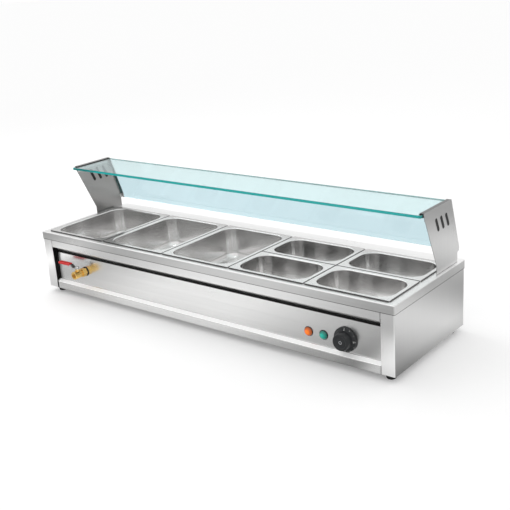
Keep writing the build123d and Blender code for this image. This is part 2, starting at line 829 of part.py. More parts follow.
with BuildPart() as glass_clips:
    for side in (-1, 1):
        inner_plane = Plane.YZ.offset(side * guard_inner)
        for start, leg_start in ((lower_clip, 0), (upper_clip, upper_clip)):
            with BuildSketch(inner_plane):
                guard_strip(start, start + clip_width, rear_glass_front, clip_front)
            extrude(amount=-side * clip_leg)
            with BuildSketch(inner_plane):
                guard_strip(leg_start, start + clip_width, rear_glass_front, rear_glass_front + clip_leg)
            extrude(amount=-side * sheet)
        with BuildSketch(inner_plane):
            guard_strip(lower_clip, -rear_glass_drop, clip_back, clip_front)
        extrude(amount=-side * clip_leg)
glass_clips.part.label = "glass_clips"
export_step(glass_clips.part, "parts/glass_clips.step")

# Bolts and nuts that hold the brackets' tongues to the mounts
with BuildPart() as guard_bolts:
    for side in (-1, 1):
        with BuildSketch(Plane.YZ.offset(side * guard_inner)):
            with Locations(*[(y, bolt_z) for y in bolt_ys]):
                RegularPolygon(guard_bolt_width / 2, 6, major_radius=False)
        extrude(amount=-side * guard_bolt_head)
        with BuildSketch(Plane.YZ.offset(side * guard_inner)):
            with Locations(*[(y, bolt_z) for y in bolt_ys]):
                Circle(guard_bolt_radius)
        extrude(amount=side * (guard_sheet + sheet + guard_nut_height))
guard_bolts.part.label = "guard_bolts"
export_step(guard_bolts.part, "parts/guard_bolts.step")

with BuildPart() as guard_nuts:
    for side in (-1, 1):
        with BuildSketch(Plane.YZ.offset(side * (guard_outer + sheet))):
            with Locations(*[(y, bolt_z) for y in bolt_ys]):
                RegularPolygon(guard_bolt_width / 2, 6, major_radius=False)
                Circle(guard_bolt_radius + fit_gap / 2, mode=Mode.SUBTRACT)
        extrude(amount=side * guard_nut_height)
guard_nuts.part.label = "guard_nuts"
export_step(guard_nuts.part, "parts/guard_nuts.step")

# Drain: planes across the flow axis, counted from the valve's inlet end towards the front
inlet_y = panel_face - washer_thickness


def flow_plane(distance):
    """Give the plane across the flow axis at a distance from the valve's inlet end."""
    return Plane(origin=(valve_x, inlet_y - distance, valve_height), x_dir=(1, 0, 0), z_dir=(0, -1, 0))


# Drain pipe: welded to the sloping wall of the well, it runs through the front panel
with BuildPart() as drain_pipe:
    with BuildSketch(flow_plane(pipe_entry)):
        Circle(pipe_radius)
        Circle(pipe_bore, mode=Mode.SUBTRACT)
    extrude(amount=-(pipe_entry + washer_thickness + panel_recess + slope_run))
    split(bisect_by=slope_plane, keep=Keep.TOP)
drain_pipe.part.label = "drain_pipe"
export_step(drain_pipe.part, "parts/drain_pipe.step")

with BuildPart() as valve_washer:
    with BuildSketch(flow_plane(0)):
        Circle(washer_radius)
        Circle(pipe_radius + fit_gap, mode=Mode.SUBTRACT)
    extrude(amount=-washer_thickness)
valve_washer.part.label = "valve_washer"
export_step(valve_washer.part, "parts/valve_washer.step")

# Valve inlet: a hexagonal end piece that screws on the pipe and into the valve body
body_start = hex_length + waist_length / 2
chamber_radius = ball_radius + ball_slack
chamber_start = ball_distance - seat_depth
chamber_end = ball_distance + seat_depth

with BuildPart() as valve_inlet:
    with BuildSketch(flow_plane(0)):
        RegularPolygon(hex_width / 2, 6, major_radius=False)
    extrude(amount=hex_length)
    chamfer(valve_inlet.edges().filter_by(Axis.Y), valve_edge)
    with BuildSketch(flow_plane(hex_length)):
        Circle(valve_waist)
    extrude(amount=waist_length / 2)
    with BuildSketch(flow_plane(body_start)):
        Circle(chamber_radius)
    extrude(amount=chamber_start - body_start)
    with BuildSketch(flow_plane(0)):
        Circle(pipe_radius)
    extrude(amount=pipe_entry, mode=Mode.SUBTRACT)
    with BuildSketch(flow_plane(pipe_entry)):
        Circle(valve_bore)
    extrude(amount=hex_length, mode=Mode.SUBTRACT)
valve_inlet.part.label = "valve_inlet"
export_step(valve_inlet.part, "parts/valve_inlet.step")

# Valve body: turned outside with a boss for the stem, bored out for the ball and its seats
with BuildPart() as valve_body:
    with BuildSketch(Plane(origin=(valve_x, inlet_y, valve_height), x_dir=(0, -1, 0), z_dir=(1, 0, 0))):
        with BuildLine():
            waist_end = (hex_length + waist_length, valve_waist)
            cone_end = (hex_length + waist_length + valve_cone, valve_front_radius)
            Polyline((body_start, 0), (body_start, valve_waist), waist_end)
            Spline(waist_end, cone_end, tangents=((1, 0), (1, 0)))
            Polyline(cone_end, (valve_length, valve_front_radius), (valve_length, 0), (body_start, 0))
        make_face()
    revolve(axis=Axis((valve_x, inlet_y, valve_height), (0, -1, 0)))
    chamfer(valve_body.faces().sort_by(Axis.Y)[0].edges(), valve_edge)
    with BuildSketch(Plane((valve_x, inlet_y - ball_distance, valve_height))):
        Circle(boss_radius)
    extrude(amount=boss_height)
    with BuildSketch(flow_plane(body_start)):
        Circle(chamber_radius)
    extrude(amount=chamber_end - body_start, mode=Mode.SUBTRACT)
    with BuildSketch(flow_plane(chamber_end)):
        Circle(valve_bore)
    extrude(amount=valve_length - chamber_end, mode=Mode.SUBTRACT)
    with BuildSketch(flow_plane(valve_length)):
        Circle(outlet_radius)
    extrude(amount=-outlet_depth, mode=Mode.SUBTRACT)
    with BuildSketch(Plane((valve_x, inlet_y - ball_distance, valve_height))):
        Circle(stem_radius + fit_gap)
    extrude(amount=boss_height, mode=Mode.SUBTRACT)
valve_body.part.label = "valve_body"
export_step(valve_body.part, "parts/valve_body.step")

# Seats: two rings, hollowed to the ball on their inner sides
ball_center = (valve_x, inlet_y - ball_distance, valve_height)

with BuildPart() as valve_seats:
    with BuildSketch(flow_plane(chamber_start)):
        Circle(chamber_radius)
        Circle(valve_bore, mode=Mode.SUBTRACT)
    extrude(amount=seat_depth - seat_inset)
    with BuildSketch(flow_plane(chamber_end)):
        Circle(chamber_radius)
        Circle(valve_bore, mode=Mode.SUBTRACT)
    extrude(amount=-(seat_depth - seat_inset))
    with Locations(ball_center):
        Sphere(ball_radius + fit_gap, mode=Mode.SUBTRACT)
valve_seats.part.label = "valve_seats"
export_step(valve_seats.part, "parts/valve_seats.step")

# Ball: bored through along the lever, with a flat and a slot that take the stem
with BuildPart() as valve_ball:
    with Locations(ball_center):
        Sphere(ball_radius)
        Cylinder(valve_bore, 2 * ball_radius, rotation=(0, 90, 0), mode=Mode.SUBTRACT)
    with BuildSketch(Plane((valve_x, inlet_y - ball_distance, valve_height + ball_flat))):
        Circle(ball_radius)
    extrude(amount=ball_radius - ball_flat, mode=Mode.SUBTRACT)
    with BuildSketch(Plane((valve_x, inlet_y - ball_distance, valve_height + ball_flat))):
        Rectangle(2 * ball_radius, tang_width)
    extrude(amount=-tang_depth, mode=Mode.SUBTRACT)
valve_ball.part.label = "valve_ball"
export_step(valve_ball.part, "parts/valve_ball.step")

# Stem: stands in the ball's slot, and its collar carries the lever
stem_top = lever_lift + lever_thickness + lever_nut_height + stem_overshoot
collar_bottom = boss_height + fit_gap

with BuildPart() as valve_stem:
    with BuildSketch(Plane((valve_x, inlet_y - ball_distance, valve_height + ball_flat))):
        Circle(stem_radius)
    extrude(amount=stem_top - ball_flat)
    with BuildSketch(Plane((valve_x, inlet_y - ball_distance, valve_height + collar_bottom))):
        Circle(stem_collar_radius)
    extrude(amount=lever_lift - collar_bottom)
    with BuildSketch(Plane((valve_x, inlet_y - ball_distance, valve_height + ball_flat))):
        Rectangle(2 * stem_radius, tang_width)
        with BuildSketch(mode=Mode.PRIVATE) as stem_section:
            Circle(stem_radius)
        add(stem_section.sketch, mode=Mode.INTERSECT)
    extrude(amount=-tang_depth)
valve_stem.part.label = "valve_stem"
export_step(valve_stem.part, "parts/valve_stem.step")

# Lever: a cranked strap with a rounded tail, its tip inside a soft sleeve
lever_origin = (valve_x, inlet_y - ball_distance + lever_width / 2, valve_height)
lever_plane = Plane(origin=lever_origin, x_dir=(1, 0, 0), z_dir=(0, -1, 0))
lever_middle = lever_lift + lever_thickness / 2
grip_middle = lever_middle + lever_rise

with BuildPart() as valve_lever:
    with BuildSketch(lever_plane):
        folded(
            [
                (lever_tail, lever_middle),
                (-lever_flat, lever_middle),
                (-lever_flat - lever_ramp, grip_middle),
                (-lever_reach, grip_middle),
            ],
            lever_thickness,
            lever_bend,
        )
    extrude(amount=lever_width)
    fillet(valve_lever.edges().filter_by(Axis.Z), lever_width / 3)
    with BuildSketch(Plane((valve_x, inlet_y - ball_distance, valve_height + lever_lift))):
        Circle(stem_radius)
    extrude(amount=lever_thickness, mode=Mode.SUBTRACT)
valve_lever.part.label = "valve_lever"
export_step(valve_lever.part, "parts/valve_lever.step")

with BuildPart() as lever_sleeve:
    with BuildSketch(Plane((valve_x, inlet_y - ball_distance, valve_height + grip_middle))):
        with Locations((-lever_reach - sleeve_end, 0)):
            Rectangle(sleeve_length, sleeve_width, align=(Align.MIN, Align.CENTER))
    extrude(amount=sleeve_thickness / 2, both=True)
    fillet(lever_sleeve.edges(), sleeve_edge)
    add(valve_lever.part, mode=Mode.SUBTRACT)
lever_sleeve.part.label = "lever_sleeve"
export_step(lever_sleeve.part, "parts/lever_sleeve.step")

with BuildPart() as lever_nut:
    with BuildSketch(Plane((valve_x, inlet_y - ball_distance, valve_height + lever_lift + lever_thickness))):
        RegularPolygon(lever_nut_width / 2, 6, major_radius=False)
        Circle(stem_radius, mode=Mode.SUBTRACT)
    extrude(amount=lever_nut_height)
lever_nut.part.label = "lever_nut"
export_step(lever_nut.part, "parts/lever_nut.step")

# Thermostat: the body behind the panel, its shaft and the knob in front
knob_back = panel_face - knob_clearance
knob_plane = Plane(origin=(knob_x, knob_back, knob_height), x_dir=(1, 0, 0), z_dir=(0, -1, 0))
thermostat_plane = Plane(origin=(knob_x, panel_back, knob_height), x_dir=(1, 0, 0), z_dir=(0, -1, 0))
knob_axis = Axis((knob_x, knob_back, knob_height), (0, -1, 0))
grip_back = skirt_thickness + skirt_slope
grip_front = grip_back + grip_length

with BuildPart() as thermostat_body:
    with BuildSketch(thermostat_plane):
        RectangleRounded(thermostat_width, thermostat_height, thermostat_corner)
    extrude(amount=-thermostat_length)
    with BuildSketch(thermostat_plane):
        Circle(shaft_radius + fit_gap)
    extrude(amount=-shaft_seat - fit_gap, mode=Mode.SUBTRACT)
thermostat_body.part.label = "thermostat_body"
export_step(thermostat_body.part, "parts/thermostat_body.step")

with BuildPart() as thermostat_shaft:
    with BuildSketch(thermostat_plane.offset(-shaft_seat)):
        Circle(shaft_radius)
    extrude(amount=shaft_seat + sheet + knob_clearance + shaft_entry)
thermostat_shaft.part.label = "thermostat_shaft"
export_step(thermostat_shaft.part, "parts/thermostat_shaft.step")

with BuildPart() as thermostat_knob:
    with BuildSketch(Plane(origin=knob_axis.position, x_dir=(0, -1, 0), z_dir=(1, 0, 0))):
        with BuildLine():
            Polyline(
                (0, 0),
                (0, skirt_radius),
                (skirt_thickness, skirt_radius),
                (grip_back, grip_radius),
                (grip_front, grip_radius - grip_draft),
                (grip_front, grip_dish_radius),
                (grip_front - grip_dish, grip_dish_radius - grip_dish),
                (grip_front - grip_dish, 0),
                close=True,
            )
        make_face()
    revolve(axis=knob_axis)
    fillet(thermostat_knob.edges().filter_by(GeomType.CIRCLE).group_by(Axis.Y)[0], knob_edge)
    fillet(thermostat_knob.edges().filter_by(GeomType.CIRCLE).sort_by(SortBy.RADIUS)[-2:], knob_edge)
    with BuildSketch(knob_plane):
        Circle(shaft_radius)
    extrude(amount=shaft_entry, mode=Mode.SUBTRACT)
thermostat_knob.part.label = "thermostat_knob"
export_step(thermostat_knob.part, "parts/thermostat_knob.step")


# Signal lamps: a domed lens in a housing that snaps into the front panel
def make_lamp(color, x):
    """Make the housing and the lens of one lamp whose axis is at x."""
    lamp_axis = Axis((x, panel_face, lamp_height), (0, -1, 0))
    section_plane = Plane(origin=lamp_axis.position, x_dir=(0, -1, 0), z_dir=(1, 0, 0))
    with BuildPart() as housing:
        with BuildSketch(section_plane):
            with BuildLine():
                Polyline(
                    (-lamp_body_length, 0),
                    (-lamp_body_length, lamp_body_radius),
                    (-snap_length, lamp_body_radius),
                    (-sheet, snap_radius),
                    (-sheet, lamp_body_radius),
                    (0, lamp_body_radius),
                    (0, bezel_radius),
                    (bezel_thickness, bezel_radius - bezel_thickness / 2),
                    (bezel_thickness, lens_spigot),
                    (bezel_thickness - lens_seat, lens_spigot),
                    (bezel_thickness - lens_seat, 0),
                    close=True,
                )
            make_face()
        revolve(axis=lamp_axis)
    housing.part.label = f"{color}_lamp_housing"
    export_step(housing.part, f"parts/{color}_lamp_housing.step")
    with BuildPart() as lens:
        with BuildSketch(section_plane):
            with BuildLine():
                Polyline(
                    (bezel_thickness + lens_dome, 0),
                    (bezel_thickness - lens_seat, 0),
                    (bezel_thickness - lens_seat, lens_spigot),
                    (bezel_thickness, lens_spigot),
                    (bezel_thickness, lens_radius),
                )
                EllipticalCenterArc((bezel_thickness, 0), lens_dome, lens_radius, arc_size=90)
            make_face()
        revolve(axis=lamp_axis)
    lens.part.label = f"{color}_lamp_lens"
    export_step(lens.part, f"parts/{color}_lamp_lens.step")


make_lamp("orange", orange_lamp_x)
make_lamp("green", green_lamp_x)

# Heating element: one tube in four runs over the floor, its ends brought out through the floor
turn_radius = element_pitch / 2
tube_z = well_floor + element_lift + element_radius
end_z = well_floor - well_sheet - element_end_drop
left_turn = element_left + turn_radius
right_turn = element_right - element_turn_inset - turn_radius
first_row, second_row, third_row, fourth_row = element_rows

with BuildPart() as heating_element:
    with BuildLine() as element_path:
        FilletPolyline(
            (element_right, first_row, end_z),
            (element_right, first_row, tube_z),
            (left_turn, first_row, tube_z),
            radius=element_bend,
        )
        ThreePointArc(
            (left_turn, first_row, tube_z),
            (element_left, first_row + turn_radius, tube_z),
            (left_turn, second_row, tube_z),
        )
        Line((left_turn, second_row, tube_z), (right_turn, second_row, tube_z))
        ThreePointArc(
            (right_turn, second_row, tube_z),
            (right_turn + turn_radius, element_middle_y, tube_z),
            (right_turn, third_row, tube_z),
        )
        Line((right_turn, third_row, tube_z), (left_turn, third_row, tube_z))
        ThreePointArc(
            (left_turn, third_row, tube_z),
            (element_left, third_row + turn_radius, tube_z),
            (left_turn, fourth_row, tube_z),
        )
        FilletPolyline(
            (left_turn, fourth_row, tube_z),
            (element_right, fourth_row, tube_z),
            (element_right, fourth_row, end_z),
            radius=element_bend,
        )
    with BuildSketch(Plane((element_right, first_row, end_z))):
        Circle(element_radius)
    sweep(path=element_path.line)
    with BuildSketch(Plane.XY.offset(end_z)):
        with Locations((element_right, first_row), (element_right, fourth_row)):
            Circle(element_end_radius)
    extrude(amount=element_end_drop + well_sheet)
    with BuildSketch(Plane.XY.offset(well_floor)):
        with Locations((element_right, first_row), (element_right, fourth_row)):
            Circle(element_collar_radius)
    extrude(amount=element_collar_height)
heating_element.part.label = "heating_element"
export_step(heating_element.part, "parts/heating_element.step")

with BuildPart() as element_nuts:
    with BuildSketch(Plane.XY.offset(well_floor - well_sheet)):
        with Locations((element_right, first_row), (element_right, fourth_row)):
            RegularPolygon(element_nut_width / 2, 6, major_radius=False)
            Circle(element_end_radius, mode=Mode.SUBTRACT)
    extrude(amount=-element_nut_height)
element_nuts.part.label = "element_nuts"
export_step(element_nuts.part, "parts/element_nuts.step")

with BuildPart() as element_supports:
    with BuildSketch(Plane.XY.offset(well_floor)):
        with Locations(*[(x, element_middle_y) for x in element_support_xs]):
            Rectangle(support_width, 4 * element_pitch - element_pitch / 4)
    extrude(amount=element_lift)
element_supports.part.label = "element_supports"
export_step(element_supports.part, "parts/element_supports.step")

# Sensing bulb: lies under the floor of the well; its capillary tube runs to the thermostat
bulb_z = well_floor - well_sheet - bulb_radius
thermostat_rear = panel_back + thermostat_length
capillary_y = thermostat_rear + capillary_gap

with BuildPart() as sensing_bulb:
    with BuildSketch(Plane(origin=(bulb_x - bulb_length / 2, bulb_y, bulb_z), z_dir=(1, 0, 0))):
        Circle(bulb_radius)
    extrude(amount=bulb_length)
    with BuildLine() as capillary_path:
        FilletPolyline(
            (bulb_x + bulb_length / 2, bulb_y, bulb_z),
            (knob_x, bulb_y, bulb_z),
            (knob_x, capillary_y, bulb_z),
            (knob_x, capillary_y, knob_height),
            (knob_x, thermostat_rear, knob_height),
            radius=capillary_bend,
        )
    with BuildSketch(Plane(origin=(bulb_x + bulb_length / 2, bulb_y, bulb_z), z_dir=(1, 0, 0))):
        Circle(capillary_radius)
    sweep(path=capillary_path.line)
sensing_bulb.part.label = "sensing_bulb"
export_step(sensing_bulb.part, "parts/sensing_bulb.step")

# Terminal block on the bottom plate, with a row of wire holes
with BuildPart() as terminal_block:
    with BuildSketch(Plane((block_x, block_y, plate_top))):
        Rectangle(block_length, block_width)
    extrude(amount=block_height)
    fillet(terminal_block.edges().filter_by(Axis.Z), block_corner)
    with BuildSketch(Plane.XZ.offset(-(block_y + block_width / 2))):
        with Locations((block_x, plate_top + block_height / 2)):
            with GridLocations(block_length / block_ways, 1, block_ways, 1):
                Circle(wire_radius)
    extrude(amount=block_width, mode=Mode.SUBTRACT)
terminal_block.part.label = "terminal_block"
export_step(terminal_block.part, "parts/terminal_block.step")

# Cable gland: its thread passes the rear panel, with a dome outside and a locknut inside
gland_plane = Plane(origin=(gland_x, rear_face, gland_height), x_dir=(-1, 0, 0), z_dir=(0, 1, 0))

with BuildPart() as cable_gland:
    with BuildSketch(gland_plane):
        RegularPolygon(gland_hex / 2, 6, major_radius=False)
    extrude(amount=gland_hex_length)
    with BuildSketch(gland_plane.offset(gland_hex_length)):
        Circle(gland_dome_radius)
    extrude(amount=gland_dome_length)
    fillet(cable_gland.faces().sort_by(Axis.Y)[-1].edges(), gland_dome_edge)
    with BuildSketch(gland_plane.offset(-sheet - gland_hex_length)):
        Circle(gland_thread)
    extrude(amount=sheet + gland_hex_length)
    with BuildSketch(gland_plane.offset(-sheet)):
        RegularPolygon(gland_hex / 2, 6, major_radius=False)
    extrude(amount=-gland_hex_length)
    with BuildSketch(gland_plane.offset(gland_hex_length + gland_dome_length)):
        Circle(gland_bore)
    extrude(amount=-(2 * gland_hex_length + gland_dome_length + sheet), mode=Mode.SUBTRACT)
cable_gland.part.label = "cable_gland"
export_step(cable_gland.part, "parts/cable_gland.step")
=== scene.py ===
# %% [markdown]
# A countertop food warmer, dressed for its portrait.
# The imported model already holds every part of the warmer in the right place: the folded
# steel body, the water well, seven lift-out pans, the glass guard, the drain valve and the
# dial. This lesson gives each of them its real finish, adds the small details that are
# easier to draw in Blender than in CAD, and sets up the camera and the light.

# %% load the model as a fixed frame
import math
import bpy
from mathutils import Matrix, Vector


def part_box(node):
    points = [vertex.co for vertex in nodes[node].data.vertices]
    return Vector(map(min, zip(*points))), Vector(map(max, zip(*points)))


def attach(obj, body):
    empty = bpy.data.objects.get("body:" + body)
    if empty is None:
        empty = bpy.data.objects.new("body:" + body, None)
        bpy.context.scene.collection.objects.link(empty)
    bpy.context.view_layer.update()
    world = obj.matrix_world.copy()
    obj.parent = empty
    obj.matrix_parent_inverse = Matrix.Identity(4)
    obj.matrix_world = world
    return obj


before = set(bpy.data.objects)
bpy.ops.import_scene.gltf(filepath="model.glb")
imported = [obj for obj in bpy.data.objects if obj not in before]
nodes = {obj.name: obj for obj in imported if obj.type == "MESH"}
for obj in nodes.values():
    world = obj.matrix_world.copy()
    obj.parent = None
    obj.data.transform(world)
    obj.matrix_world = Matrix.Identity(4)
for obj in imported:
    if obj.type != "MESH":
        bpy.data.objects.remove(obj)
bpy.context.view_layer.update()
scene = bpy.context.scene
print("parts loaded:", len(nodes))

# %% [markdown]
# The camera comes first, because every later choice is judged through it.
# The photograph was taken from the front right, a little above the warmer, with a long
# lens. The place and the turn below were fitted to the rims of the pans.

# %% the camera
SENSOR_WIDTH, LENS = 36.0, 60.98
CAMERA_PLACE = (1.6870, -1.9294, 1.0492)
CAMERA_TURN = (71.136, 3.766, 38.350)

camera_data = bpy.data.cameras.new("camera")
camera_data.sensor_width = SENSOR_WIDTH
camera_data.lens = LENS
camera = bpy.data.objects.new("camera", camera_data)
camera.location = CAMERA_PLACE
camera.rotation_euler = [math.radians(angle) for angle in CAMERA_TURN]
scene.collection.objects.link(camera)
scene.camera = camera
print("lens:", LENS, "mm")

# %% [markdown]
# Node trees take many lines when each node is made by hand. These small helpers keep the
# recipes short: one adds a node, one joins sockets, and one starts a shader group whose
# sockets have plain names. Others do arithmetic, fade a value from one place to another,
# mix two colours, start a material and give a finished material to parts of the model.

# %% helpers for node trees
def add_node(tree, kind, **settings):
    """Add a node and set its values; sockets maps names of input sockets to values."""
    node = tree.nodes.new(kind)
    sockets = settings.pop("sockets", {})
    for key, value in settings.items():
        setattr(node, key, value)
    for key, value in sockets.items():
        node.inputs[key].default_value = value
    return node


def join(tree, source, target):
    """Join an output socket to an input socket."""
    tree.links.new(source, target)


def shader_group(name, inputs, outputs):
    """Start a shader group; inputs and outputs are lists of (name, kind, start value)."""
    tree = bpy.data.node_groups.new(name, "ShaderNodeTree")
    for label, kind, start in inputs:
        socket = tree.interface.new_socket(name=label, in_out="INPUT", socket_type=kind)
        socket.default_value = start
    for label, kind in outputs:
        tree.interface.new_socket(name=label, in_out="OUTPUT", socket_type=kind)
    return tree, tree.nodes.new("NodeGroupInput"), tree.nodes.new("NodeGroupOutput")


def math_node(tree, operation, first, second=None, clamp=False):
    """Add a Math node; each value is a number or a socket."""
    node = add_node(tree, "ShaderNodeMath", operation=operation, use_clamp=clamp)
    for slot, value in enumerate((first, second)):
        if value is None:
            continue
        if isinstance(value, (int, float)):
            node.inputs[slot].default_value = value
        else:
            join(tree, value, node.inputs[slot])
    return node.outputs[0]


def fade(tree, value, start, end, low, high):
    """Move a value smoothly from low at start to high at end."""
    node = add_node(tree, "ShaderNodeMapRange", interpolation_type="SMOOTHSTEP")
    join(tree, value, node.inputs["Value"])
    for label, number in (("From Min", start), ("From Max", end), ("To Min", low), ("To Max", high)):
        node.inputs[label].default_value = number
    return node.outputs["Result"]


def mix_colors(tree, factor, first, second):
    """Mix two colours by factor, a socket; each colour is a socket or three numbers."""
    node = add_node(tree, "ShaderNodeMix", data_type="RGBA")
    join(tree, factor, node.inputs["Factor"])
    for slot, value in ((6, first), (7, second)):
        if isinstance(value, tuple):
            node.inputs[slot].default_value = (*value, 1.0)
        else:
            join(tree, value, node.inputs[slot])
    return node.outputs[2]


def object_axes(tree):
    """Give the X, Y and Z of the point in the object's own coordinates, by their names."""
    place = add_node(tree, "ShaderNodeTexCoord")
    axes = add_node(tree, "ShaderNodeSeparateXYZ")
    join(tree, place.outputs["Object"], axes.inputs[0])
    return axes.outputs


def new_material(name):
    """Start a material and give it with its node tree and its Principled shader."""
    material = bpy.data.materials.new(name)
    material.use_nodes = True
    return material, material.node_tree, material.node_tree.nodes["Principled BSDF"]


def join_finish(tree, shader, group, values):
    """Feed a Principled shader from a finish group with the given values."""
    finish = add_node(tree, "ShaderNodeGroup", node_tree=group, sockets=values)
    join(tree, finish.outputs["Color"], shader.inputs["Base Color"])
    join(tree, finish.outputs["Roughness"], shader.inputs["Roughness"])
    join(tree, finish.outputs["Normal"], shader.inputs["Normal"])


def dress(material, *names):
    """Give CAD parts a material through their own slots."""
    for name in names:
        slots = nodes[name].material_slots
        if not slots:
            nodes[name].data.materials.append(material)
        for slot in slots:
            slot.material = material


print("helpers ready")

# %% [markdown]
# Brushed stainless steel is the main finish here. A belt drags thousands of fine scratches
# along the sheet, so the surface is smooth along the grain and rough across it. Two layers
# of noise, stretched along the grain, give the scratches and the wider, softer bands. A
# third, unstretched layer is the faint cloudiness of handled metal. One group makes all
# three, and each sheet stretches it along its own grain.

# %% the brushed grain group
BAND_SCALE, CLOUD_SCALE = 0.12, 7.0
CLOUD_ROUGHENING, GRAIN_SMOOTHING = 1.5, 0.4
BUMP_DISTANCE = 0.0004


def build_grain_group():
    """Colour, roughness and normal of brushed sheet, from stretched noise."""
    tree, start, end = shader_group(
        "brushed_grain",
        [
            ("Stretch", "NodeSocketVector", (1.0, 1.0, 1.0)),
            ("Color", "NodeSocketColor", (0.7, 0.7, 0.7, 1.0)),
            ("Contrast", "NodeSocketFloat", 0.1),
            ("Roughness", "NodeSocketFloat", 0.3),
            ("Scratch depth", "NodeSocketFloat", 0.1),
            ("Cloudiness", "NodeSocketFloat", 0.1),
        ],
        [
            ("Color", "NodeSocketColor"),
            ("Roughness", "NodeSocketFloat"),
            ("Normal", "NodeSocketVector"),
        ],
    )
    place = add_node(tree, "ShaderNodeTexCoord")
    stretched = add_node(tree, "ShaderNodeVectorMath", operation="MULTIPLY")
    join(tree, place.outputs["Object"], stretched.inputs[0])
    join(tree, start.outputs["Stretch"], stretched.inputs[1])
    scratches = add_node(
        tree, "ShaderNodeTexNoise", sockets={"Scale": 1.0, "Detail": 3.0, "Roughness": 0.6}
    )
    join(tree, stretched.outputs[0], scratches.inputs["Vector"])
    bands = add_node(tree, "ShaderNodeTexNoise", sockets={"Scale": BAND_SCALE, "Detail": 2.0})
    join(tree, stretched.outputs[0], bands.inputs["Vector"])
    clouds = add_node(tree, "ShaderNodeTexNoise", sockets={"Scale": CLOUD_SCALE, "Detail": 3.0})
    join(tree, place.outputs["Object"], clouds.inputs["Vector"])
    scratch_tone = math_node(tree, "SUBTRACT", scratches.outputs["Fac"], 0.5)
    band_tone = math_node(tree, "SUBTRACT", bands.outputs["Fac"], 0.5)
    cloud_tone = math_node(tree, "SUBTRACT", clouds.outputs["Fac"], 0.5)
    both = math_node(tree, "ADD", scratch_tone, band_tone)
    tone = math_node(tree, "MULTIPLY", both, start.outputs["Contrast"])
    clouded = math_node(tree, "MULTIPLY", cloud_tone, start.outputs["Cloudiness"])
    factor = math_node(tree, "ADD", math_node(tree, "ADD", tone, clouded), 1.0)
    color = add_node(tree, "ShaderNodeVectorMath", operation="SCALE")
    join(tree, start.outputs["Color"], color.inputs[0])
    join(tree, factor, color.inputs["Scale"])
    dulled = math_node(tree, "MULTIPLY", clouded, CLOUD_ROUGHENING)
    polished = math_node(tree, "MULTIPLY", tone, GRAIN_SMOOTHING)
    rough = math_node(tree, "ADD", start.outputs["Roughness"], dulled)
    rough = math_node(tree, "SUBTRACT", rough, polished, clamp=True)
    bump = add_node(tree, "ShaderNodeBump", sockets={"Distance": BUMP_DISTANCE})
    join(tree, start.outputs["Scratch depth"], bump.inputs["Strength"])
    join(tree, scratches.outputs["Fac"], bump.inputs["Height"])
    join(tree, color.outputs[0], end.inputs["Color"])
    join(tree, rough, end.inputs["Roughness"])
    join(tree, bump.outputs["Normal"], end.inputs["Normal"])
    return tree


grain_group = build_grain_group()
print("grain group sockets:", [s.name for s in grain_group.interface.items_tree])

# %% [markdown]
# Thin lines of painted shadow part the sheets wherever one ends over another: under the lip of the
# cover, round the rims of the pans and beside the recessed panel. The shaded gaps there are too
# narrow to draw, so a second group paints shade on the last millimetres of a sheet. It gives 1 at
# an edge and 0 further in, and each material asks it about its own edges.

# %% the seam shade group
def build_seam_group():
    """A mask that is 1 where Distance is less than Width, and 0 elsewhere."""
    tree, start, end = shader_group(
        "seam_shade",
        [
            ("Distance", "NodeSocketFloat", 0.0),
            ("Width", "NodeSocketFloat", 0.002),
        ],
        [("Shade", "NodeSocketFloat")],
    )
    inside = math_node(tree, "DIVIDE", start.outputs["Distance"], start.outputs["Width"])
    join(tree, math_node(tree, "LESS_THAN", inside, 1.0), end.inputs["Shade"])
    return tree


seam_group = build_seam_group()


def seam(tree, distance, width):
    """Give the seam mask for a distance from an edge."""
    node = add_node(tree, "ShaderNodeGroup", node_tree=seam_group)
    join(tree, distance, node.inputs["Distance"])
    node.inputs["Width"].default_value = width
    return node.outputs["Shade"]


def darken(tree, masks, shade):
    """Multiply the Base Color of a material by shade wherever one of the masks is 1."""
    dark = masks[0]
    for mask in masks[1:]:
        dark = math_node(tree, "MAXIMUM", dark, mask)
    loss = math_node(tree, "MULTIPLY", dark, 1.0 - shade)
    scale_color(tree, math_node(tree, "SUBTRACT", 1.0, loss))


def scale_color(tree, factor):
    """Multiply the Base Color of a material by factor, a socket."""
    shader = tree.nodes["Principled BSDF"]
    source = shader.inputs["Base Color"].links[0].from_socket
    scale = add_node(tree, "ShaderNodeVectorMath", operation="SCALE")
    join(tree, source, scale.inputs[0])
    join(tree, factor, scale.inputs["Scale"])
    join(tree, scale.outputs[0], shader.inputs["Base Color"])


def glow_tone(tree, strength):
    """Let a material glow in grey by the given strength, a socket."""
    shader = tree.nodes["Principled BSDF"]
    tone = add_node(tree, "ShaderNodeCombineColor")
    for channel in ("Red", "Green", "Blue"):
        join(tree, strength, tone.inputs[channel])
    join(tree, tone.outputs[0], shader.inputs["Emission Color"])
    shader.inputs["Emission Strength"].default_value = 1.0


print("seam group ready")

# %% [markdown]
# A steel is a Principled shader fed by the grain group. The grain is laid along X on the
# front and the cover, and along Z on the side panels and the brackets, because that is how
# the sheets were turned when they were cut. Drawn and turned pieces have an even grain.

# %% steel finishes
ALONG_X = (6.0, 900.0, 900.0)
ALONG_Z = (900.0, 900.0, 6.0)
DRAWN, TURNED, DULL = (120.0,) * 3, (400.0,) * 3, (60.0,) * 3
METAL_IOR = 2.5


def steel(name, color, roughness, stretch, contrast=0.10, depth=0.10, cloudiness=0.10):
    """Make one steel finish; the grain runs along the axis that stretch scales least."""
    material, tree, shader = new_material(name)
    shader.inputs["Metallic"].default_value = 1.0
    shader.inputs["IOR"].default_value = METAL_IOR
    values = {
        "Stretch": stretch,
        "Color": (*color, 1.0),
        "Contrast": contrast,
        "Roughness": roughness,
        "Scratch depth": depth,
        "Cloudiness": cloudiness,
    }
    join_finish(tree, shader, grain_group, values)
    return material


